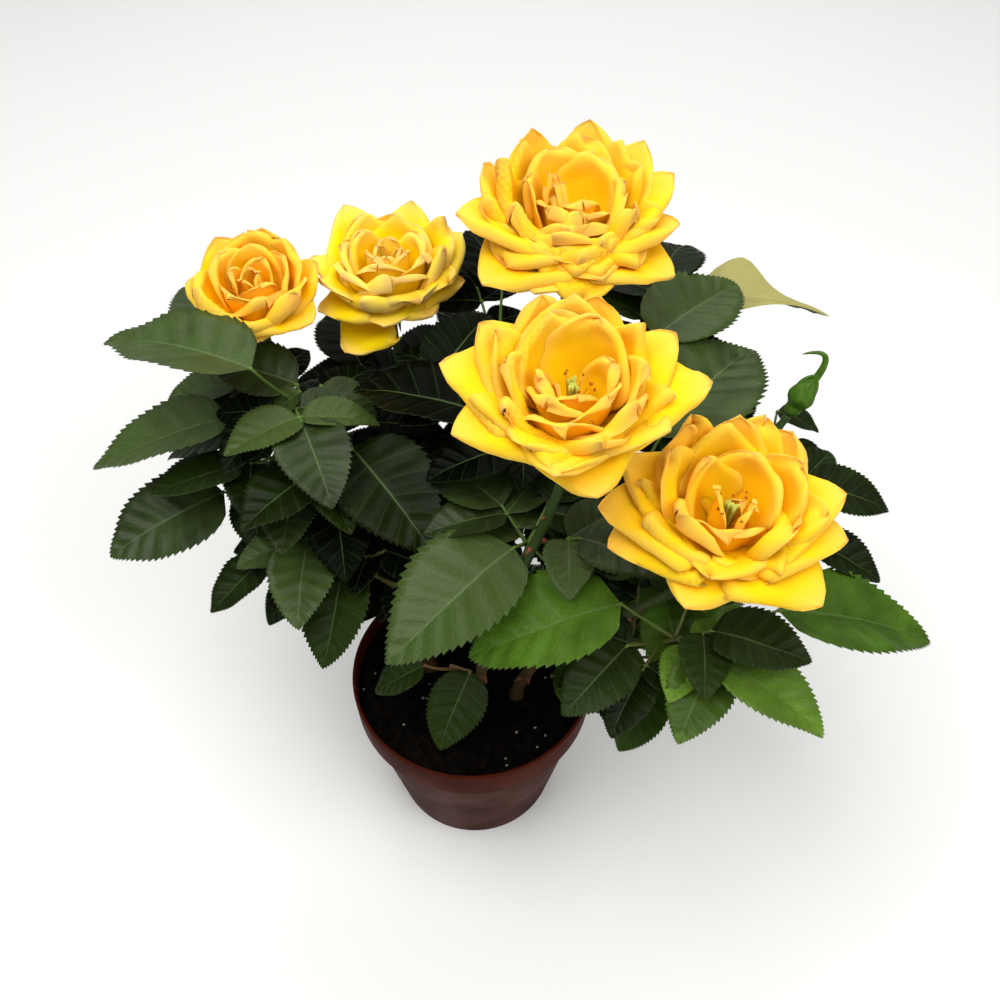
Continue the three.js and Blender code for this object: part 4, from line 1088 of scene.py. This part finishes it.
def petal_skins(skin, rows, turn, at, sizes, seed):
    """Petals as thin closed shells. A petal is first a flat outline round a straight spine: its half width swells
    from the foot and closes in to the tip by 1 - t^p, which comes to a point where the tip is free and is round
    where it is rolled. The spine is then laid on a cubic curve in a plane through the bloom's axis, and the width
    on arcs round that axis. A point past the line where the roll starts is carried round a small circle outwards
    by its distance from that line. A free tip has that line at its outline and the roll outside it. A ruffle runs
    along the margin."""
    rng = np.random.default_rng(seed)
    some = lambda low, high: rng.uniform(low, high, (len(rows), 1, 1))
    azimuth = np.array([r[0] for r in rows], float)[:, None, None]
    wide, cup, roll, free, ruffle = (np.array([r[k] for r in rows], float)[:, None, None] for k in range(2, 7))
    point = np.array([r[8] for r in rows], float)[:, None, None]
    u = (1 - (1 - np.linspace(0, 1, PETAL_GRID[0])) ** 1.2)[None, :, None]
    v = np.sin(np.linspace(-np.pi / 2, np.pi / 2, PETAL_GRID[1]))[None, None]
    curl = ROLL["share"] * roll + ROLL["least"]
    # The spine by its length, run straight on past its end as far as the roll needs.
    spine = np.array([bezier(r[1], np.linspace(0, 1, 60)) for r in rows])
    last = unit(spine[:, -1] - spine[:, -2])[:, None]
    spine = np.concatenate([spine, spine[:, -1:] + last * 6], axis=1)
    run = unit(np.gradient(spine, axis=1))
    length = np.cumsum(np.linalg.norm(np.diff(spine, axis=1), axis=2), axis=1)
    length = np.concatenate([np.zeros((len(rows), 1)), length], 1)
    full = length[:, -2, None, None] + (1 - free) * (roll - curl) * 0.8
    closing = np.clip((u - 0.42) / 0.58, 0, 1)
    shape = wide * (0.25 + 0.75 * smooth(u / 0.5)) * np.clip(1.002 - closing**point, 0, 1) ** mix(1.1 / point, 1, free)
    # The direction to the margin (across, along), and how far past the roll's line a point is.
    narrowing = np.clip(-np.gradient(shape, axis=1) / np.gradient(u * full, axis=1), 0, 3)
    lean = np.hypot(1, narrowing)
    hem = np.minimum(roll * some(0.85, 1.15), 0.6 * wide) * smooth(u * 2.2) * (1 - free * closing**4)
    hem = hem * (1 + 0.3 * np.sin(2 * np.pi * (some(0.4, 0.9) * v + some(0.5, 1.5) * u) + some(0, 6.3)))
    half = shape + free * hem * lean
    across = np.tanh(5 * v) / lean * smooth(half / np.maximum(0.9 * hem, 0.01))
    along = np.sqrt(np.clip(1 - across**2, 0, 1))
    past = np.clip((np.abs(v) * half - shape) / lean + (1 - free) * hem, 0, None)
    x = v * half + some(-0.1, 0.1) * half * u**2 - across * past
    s = u * full - along * past
    index = range(len(rows))
    radius, height, slope_r, slope_z = (
        np.array([np.interp(s[k], length[k], source[k, :, axis]) for k in index])
        for source, axis in ((spine, 0), (spine, 1), (run, 0), (run, 1)))
    bow = cup / np.maximum(radius, 5.0)
    sine, cosine = np.sin(bow * x), np.cos(bow * x)
    phase = some(0, 6.3)
    ridge = np.sin(2 * np.pi * (some(0.8, 1.6) * u + 1.1 * v) + phase)
    inward = (1 - cosine) / bow + ruffle * np.abs(v) ** 1.5 * u**2 * ridge + 0.06 * np.abs(v) * half
    inward = inward + 0.8 * ripple(np.stack(np.broadcast_arrays(x, s, azimuth), -1), 10, seed)
    turned_by = past / curl
    lift, drop = curl * np.sin(turned_by), curl * (1 - np.cos(turned_by))
    # Sums of the parts out from the axis, aside and up.
    out_part = radius - slope_z * inward + lift * (slope_r * along - slope_z * sine * across) + drop * slope_z * cosine
    aside_part = sine / bow + lift * cosine * across + drop * sine
    up_part = height + slope_r * inward + lift * (slope_z * along + slope_r * sine * across) - drop * slope_r * cosine
    out, aside = heading(azimuth, 0), heading(azimuth + 90, 0)
    middle = out * out_part[..., None] + aside * aside_part[..., None]
    middle[..., 2] = up_part
    normal = unit(np.cross(np.gradient(middle, axis=1), np.gradient(middle, axis=2)))
    thick = sizes.petal / MM / 2 * (1 - 0.8 * v**4) * smooth((1 - u) * 12) * np.ones_like(x)
    points, maps = shell(middle - normal * thick[..., None], middle + normal * thick[..., None], u[0], v[0])
    points[:, 0] = points[:, 0].mean(axis=1, keepdims=True)
    finish = np.repeat(np.array([[[1, 0]]]), PETAL_GRID[1], axis=2)
    skin.add(points @ turn.T + np.asarray(at, float), maps, finish, [r[7] for r in rows])


def stamens(skin, count, base, spread, length, turn, at, seed):
    """Thin filaments on a spiral that lean out from the middle, each with an anther, a lump at its end, and a
    bunch of thicker styles between them."""
    rng = np.random.default_rng(seed)
    way = GOLDEN_ANGLE * np.arange(count) + rng.uniform(-15, 15, count)
    lean = spread * np.sqrt(rng.uniform(0.15, 1, count))
    out = heading(way, 0)
    start = out * 1.6 + (0, 0, base)
    end = out * lean[:, None] + (base + length * rng.uniform(0.75, 1.1, (count, 1))) * (0, 0, 1)
    t = np.linspace(0, 1, 6)
    lines = np.stack([bezier((a, a + (0, 0, 0.6 * length), b), t) for a, b in zip(start, end)])
    limbs(skin, lines @ turn.T + np.asarray(at, float), 0.16, 5, 2)
    pebbles(skin, end @ turn.T + np.asarray(at, float), rng.uniform(0.4, 0.65, count), seed, 3)
    core = heading(rng.uniform(0, 360, 14), 0) * rng.uniform(0.2, 1.8, (14, 1))
    top, bend = base + 0.95 * length, base + 0.7 * length
    styles = np.stack([bezier((c + (0, 0, base - 1), c + (0, 0, bend), 1.4 * c + (0, 0, top)), t) for c in core])
    limbs(skin, styles @ turn.T + np.asarray(at, float), np.linspace(0.35, 0.5, 6), 6, 4)


def sepals(skin, turn, at, seed):
    """Narrow green leaves under a bloom: blades whose half width is a (1 - u) taper, on an arc out and down."""
    rng = np.random.default_rng(seed)
    count, length, start = SEPALS["each"], SEPALS["length"], SEPALS["start"]
    azimuth = np.arange(count) * 360 / count + rng.uniform(-14, 14, count)
    u, v = np.meshgrid(np.linspace(0, 1, 14), np.linspace(-1, 1, 7), indexing="ij")
    wide = SEPALS["width"] * (1 - u) ** 0.8 * smooth(u * 5 + 0.4)
    thick = (0.22 * (1 - 0.5 * v**4))[..., None] * (0, 0, 1)
    for way in azimuth:
        end = (0.75 * length, 0, start - rng.uniform(4, 9))
        arc = bezier(((3.2, 0, start), (0.55 * length, 0, start + 2), end), u[:, 0])
        out, aside = heading(way, 0), heading(way + 90, 0)
        middle = arc[:, None, :1] * out + aside * (v * wide)[..., None]
        middle[..., 2] += arc[:, None, 2] + 0.35 * v**2 * wide
        points, maps = shell(middle + thick, middle - thick, u, v)
        points[[0, -1]] = points[[0, -1]].mean(axis=1, keepdims=True)
        skin.add(points @ turn.T + np.asarray(at, float), maps)


def build_blooms(sizes, colours):
    """Each bloom is one piece of petals, with stamens where it is open. Hips and sepals are a piece of their own."""
    skins = {}
    for kind in ("gold", "amber", "lemon"):
        deep, body, rim = (getattr(colours, f"{kind}_{part}") for part in ("deep", "body", "rim"))
        skins[kind] = [petal_skin(f"rose_petal_{kind}_inner_face", deep, body, rim, deep),
                       petal_skin(f"rose_petal_{kind}_outer_face", deep, body, rim, body)]
    filament = soft_tissue("stamen_filament", linear("#e8a628"), linear("#c9801c"), 0.6)
    anther = soft_tissue("anther_ripe", linear("#b8741c"), linear("#8d5414"), 0.8)
    style = soft_tissue("pistil_green", linear("#9aa53a"), linear("#b9bd55"), 0.6)
    green = Skin()
    for seed, (name, bloom) in enumerate(BLOOMS.items(), 1):
        turn, at = leaning(bloom["lean"]), np.array(bloom["foot"], float)
        radius, height, hollow = bloom["heart"]
        skin = Skin()
        petal_skins(skin, petals_of(bloom, seed), turn, at, sizes, seed)
        if bloom["stamens"]:
            stamens(skin, bloom["stamens"], 9, 0.34 * radius, height - 0.5 * hollow - 9, turn, at, seed)
        skin.piece(f"{name}_petals", [*skins[bloom["finish"]], filament, anther, style], [name], "petal")
        profile = [(0, 0), (HIP["radius"] * 0.5, 0), (HIP["radius"] * 0.95, 3), (HIP["radius"], 5),
                   (HIP["radius"] * 0.86, 8), (HIP["radius"] * 0.9, HIP["height"]), (0, HIP["height"])]
        turned(green, rounded(profile, 1.5), 20, at, turn)
        sepals(green, turn, at, seed)
    skin = soft_tissue("sepal_and_hip", colours.sepal, linear("#56702f"), 0.5)
    green.piece("hips_and_sepals", [skin], [], "leaf")


def build_bud(sizes, colours):
    """The bud: a turned hip and a pointed body with faint folds, wrapped by five sepals. A sixth, long one rises past
    its tip and curls over."""
    turn, at = leaning(BUD["lean"]), np.array(BUD["foot"], float)
    radius, length, tail = BUD["radius"], BUD["length"], BUD["tail"]
    skin = Skin()
    profile = [(0, 0), (radius * 0.4, 0), (radius * 0.6, 2), (radius * 0.55, 4.6), (radius * 0.85, 0.38 * length),
               (radius * 0.95, 0.52 * length), (radius * 0.68, 0.78 * length), (radius * 0.25, 0.97 * length),
               (0, length)]
    folds = lambda rows, angle: 0.3 * np.sin(5 * angle)[None] * np.sin(np.pi * rows[:, 1:] / length)
    turned(skin, rounded(profile, 2.2), 40, at, turn, folds)
    u = np.linspace(0, 1, 16)
    rng = np.random.default_rng(2)
    lines = []
    for k in range(5):
        way = heading(72 * k + 20, 0)
        root = way * radius * 0.35 + (0, 0, 0.34 * length)
        over = way * radius * 0.85 + (0, 0, 0.85 * length)
        end = way * rng.uniform(0.2, 0.9) + (0, 0, length * rng.uniform(1.0, 1.12))
        lines.append(bezier((root, mix(root, over, 0.5), over, end), u))
    lines.append(bezier(((0, 0, 0.7 * length), (3, 0, length + 1.3 * tail), (-9, 2, length + 0.5 * tail)), u))
    limbs(skin, np.array(lines) @ turn.T + at, 1.5 * (1 - u) ** 0.6 + 0.12, 8)
    skin.piece("green_bud", [soft_tissue("rose_bud_skin", colours.bud, linear("#35540f"), 0.5)], ["bud"], "bud")


# ---- Stage ----


def build_stage(sizes, colours):
    """A wide pale floor, three soft area lights, an even pale surround and the camera."""
    floor = bpy.data.meshes.new("floor")
    size = 6.0
    grid = np.linspace(-size, size, 3)
    x, y = np.meshgrid(grid, grid, indexing="ij")
    points = np.stack([x, y, np.full_like(x, -0.0002)], -1).reshape(-1, 3)
    number = np.arange(9).reshape(3, 3)
    faces = np.stack([number[:-1, :-1], number[1:, :-1], number[1:, 1:], number[:-1, 1:]], -1).reshape(-1, 4)
    floor.from_pydata(points.tolist(), [], faces.tolist())
    material, tree, shader = finish_of("floor_matt_white", 0.9)
    noise = put(tree, "TexNoise", {"Vector": put(tree, "TexCoord").outputs["Object"], "Scale": 3.0})
    sides = {0: noise, 6: colours.floor, 7: tuple(0.985 * c for c in colours.floor)}
    feed(shader, {"Base Color": put(tree, "Mix", sides, data_type="RGBA").outputs[2]})
    floor.materials.append(material)
    ground = bpy.data.objects.new("floor", floor)
    bpy.context.scene.collection.objects.link(ground)
    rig.stage(ground)
    lights = (((-0.4, -0.2, 1.6), 1.4, 22.5), ((0.8, -0.7, 1.4), 1.4, 16.0), ((0.1, 1.2, 1.4), 1.4, 10.0))
    aim = np.array([0.0, 0.03, 0.17])
    for k, (place, wide, power) in enumerate(lights):
        lamp = bpy.data.lights.new(f"softbox_{k + 1}", "AREA")
        lamp.size, lamp.energy, lamp.shape = wide, power, "DISK"
        holder = bpy.data.objects.new(lamp.name, lamp)
        holder.location = place
        back = unit(np.array(place) - aim)
        holder.rotation_euler = (math.acos(back[2]), 0, math.atan2(back[1], back[0]) + math.pi / 2)
        bpy.context.scene.collection.objects.link(holder)
        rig.stage(holder)
    world = bpy.context.scene.world or bpy.data.worlds.new("surround")
    bpy.context.scene.world = world
    world.use_nodes = True
    sky = next(n for n in world.node_tree.nodes if n.type == "BACKGROUND")
    sky.inputs[0].default_value = (1, 1, 1, 1)
    sky.inputs[1].default_value = 0.32
    eye = bpy.data.cameras.new("camera")
    eye.lens, eye.sensor_width, eye.clip_start = 36.0, 36.0, 0.01
    camera = bpy.data.objects.new("camera", eye)
    camera.location, camera.rotation_euler = (0.012, -0.24, 0.458), (math.radians(42.2), 0, 0)
    bpy.context.scene.collection.objects.link(camera)
    bpy.context.scene.camera = camera
    bpy.context.scene.view_settings.view_transform = "Standard"


# ---- The add-on ----


def hue(name, description, colour):
    """A colour property with a default given as an sRGB hex value."""
    return FloatVectorProperty(name=name, description=description, default=linear(colour), size=4, min=0, max=1,
                               subtype="COLOR")


class RoseSizes(bpy.types.PropertyGroup):
    """Sizes that a user may change without moving anything."""

    lip: FloatProperty(name="Pot edge rounding", description="Radius of the pot's moulded edges", default=0.0008,
                       min=0.0001, max=0.003, unit="LENGTH", subtype="DISTANCE")
    leaf: FloatProperty(name="Leaf thickness", description="Thickness of a leaflet in its middle", default=0.00055,
                        min=0.0002, max=0.001, unit="LENGTH", subtype="DISTANCE")
    petal: FloatProperty(name="Petal thickness", description="Thickness of a petal in its middle", default=0.0005,
                         min=0.0002, max=0.001, unit="LENGTH", subtype="DISTANCE")
    teeth: IntProperty(name="Leaf teeth", description="Saw teeth on each side of a leaflet", default=21, min=6, max=30)


class RoseColours(bpy.types.PropertyGroup):
    """Colours of each finish."""

    pot: hue("Pot", "Moulded plastic", "#471809")
    pot_dark: hue("Pot, dark", "Darker patches of the plastic", "#321006")
    soil: hue("Soil", "Damp peat", "#050403")
    soil_crumb: hue("Soil crumbs", "Paler crumbs in the peat", "#120d09")
    perlite: hue("Perlite", "White specks in the soil", "#8f8b7d")
    cane: hue("Cane", "Green bark of the canes", "#334a1e")
    cane_old: hue("Cane, old", "Bark that has browned", "#4d3b22")
    shoot: hue("Shoot", "Green skin of side shoots and leaf stalks", "#4f6c2c")
    shoot_blush: hue("Shoot, blush", "Reddened skin of side shoots", "#6e4a2c")
    leaf_1: hue("Leaf 1", "Greyed green of the sprays on the left", "#3b4d20")
    # Leaf 2 is painted shade: a near-black green for the leaves deep inside the bush and for the sprays at the back and
    # low down.
    leaf_2: hue("Leaf 2", "Dark green of the leaves inside the bush", "#0a1103")
    leaf_3: hue("Leaf 3", "Fresh green of the low sprays", "#48691a")
    leaf_4: hue("Leaf 4", "Middle green of the other sprays", "#202f09")
    # Leaf 4 is partly the sprays' own green and partly painted shade: it is darkened for the masses in the middle and
    # front, under the blooms.
    leaf_5: hue("Leaf 5", "Yellowed green of the sprays in front", "#5a7b24")
    vein: hue("Veins", "Veins of a grown leaf", "#5b7040")
    young: hue("Young leaf", "The pale young leaf", "#a0985c")
    underside: hue("Leaf underside", "Lower face of a leaf", "#3f5230")
    gold_deep: hue("Gold petal, foot", "Foot of the petals of the open blooms", "#ffcc00")
    gold_body: hue("Gold petal, body", "Body of the petals of the open blooms", "#fcc11a")
    gold_rim: hue("Gold petal, rim", "Margin of the petals of the open blooms", "#fcc052")
    amber_deep: hue("Amber petal, foot", "Foot of the petals of the youngest bloom", "#ffc600")
    amber_body: hue("Amber petal, body", "Body of the petals of the youngest bloom", "#ffbc02")
    amber_rim: hue("Amber petal, rim", "Margin of the petals of the youngest bloom", "#fcc052")
    lemon_deep: hue("Lemon petal, foot", "Foot of the petals of the oldest bloom", "#ffca00")
    lemon_body: hue("Lemon petal, body", "Body of the petals of the oldest bloom", "#fbd210")
    lemon_rim: hue("Lemon petal, rim", "Margin of the petals of the oldest bloom", "#fccb6c")
    sepal: hue("Sepals", "Sepals and hips", "#45602a")
    bud: hue("Bud", "Skin of the green bud", "#456a16")
    floor: hue("Floor", "Studio floor", "#dededc")


def maker(name, tip, build):
    """An operator that runs one of the functions above, which all take the scene's own sizes and colours."""

    def execute(self, context):
        build(context.scene.rose_sizes, context.scene.rose_colours)
        return {"FINISHED"}

    fields = {"__doc__": tip, "bl_idname": f"rose.{name}", "bl_label": name.capitalize(), "execute": execute}
    return type(f"{name.capitalize()}Maker", (bpy.types.Operator,), fields)


MAKERS = tuple(maker(*row) for row in (
    ("pot", "Turn the nursery pot and cut its drain bores", build_pot),
    ("soil", "Fill the pot with lumpy peat and perlite", build_soil),
    ("canes", "Grow the canes with bark and prickles", build_canes),
    ("leaves", "Grow the side shoots, leaf stalks and leaflets", build_leaves),
    ("blooms", "Open the five blooms with their hips and sepals", build_blooms),
    ("bud", "Set the green bud on its cane", build_bud),
    ("stage", "Lay the floor and set the lights and the camera", build_stage),
))


class RosePanel(bpy.types.Panel):
    """Sizes, colours and a button for each group of pieces"""

    bl_idname, bl_label = "ROSE_PT_panel", "Potted rose"
    bl_space_type, bl_region_type, bl_category = "VIEW_3D", "UI", "Rose"

    def draw(self, context):
        for group in (context.scene.rose_sizes, context.scene.rose_colours):
            box = self.layout.box()
            for name in group.__annotations__:
                box.prop(group, name)
        for maker in MAKERS:
            self.layout.operator(maker.bl_idname)


CLASSES = (RoseSizes, RoseColours, *MAKERS, RosePanel)


def register():
    for each in CLASSES:
        bpy.utils.register_class(each)
    bpy.types.Scene.rose_sizes = PointerProperty(type=RoseSizes)
    bpy.types.Scene.rose_colours = PointerProperty(type=RoseColours)


def unregister():
    del bpy.types.Scene.rose_colours
    del bpy.types.Scene.rose_sizes
    for each in reversed(CLASSES):
        bpy.utils.unregister_class(each)


def main():
    """Registers the classes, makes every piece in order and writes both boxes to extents.json."""
    register()
    for maker in MAKERS:
        group, action = maker.bl_idname.split(".")
        getattr(getattr(bpy.ops, group), action)()
    boxes = {"cad": CAD_BOX, "visual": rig.bounds()}
    with open("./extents.json", "w") as file:
        json.dump({key: [list(corner) for corner in box] for key, box in boxes.items()}, file)


if __name__ == "__main__":
    main()
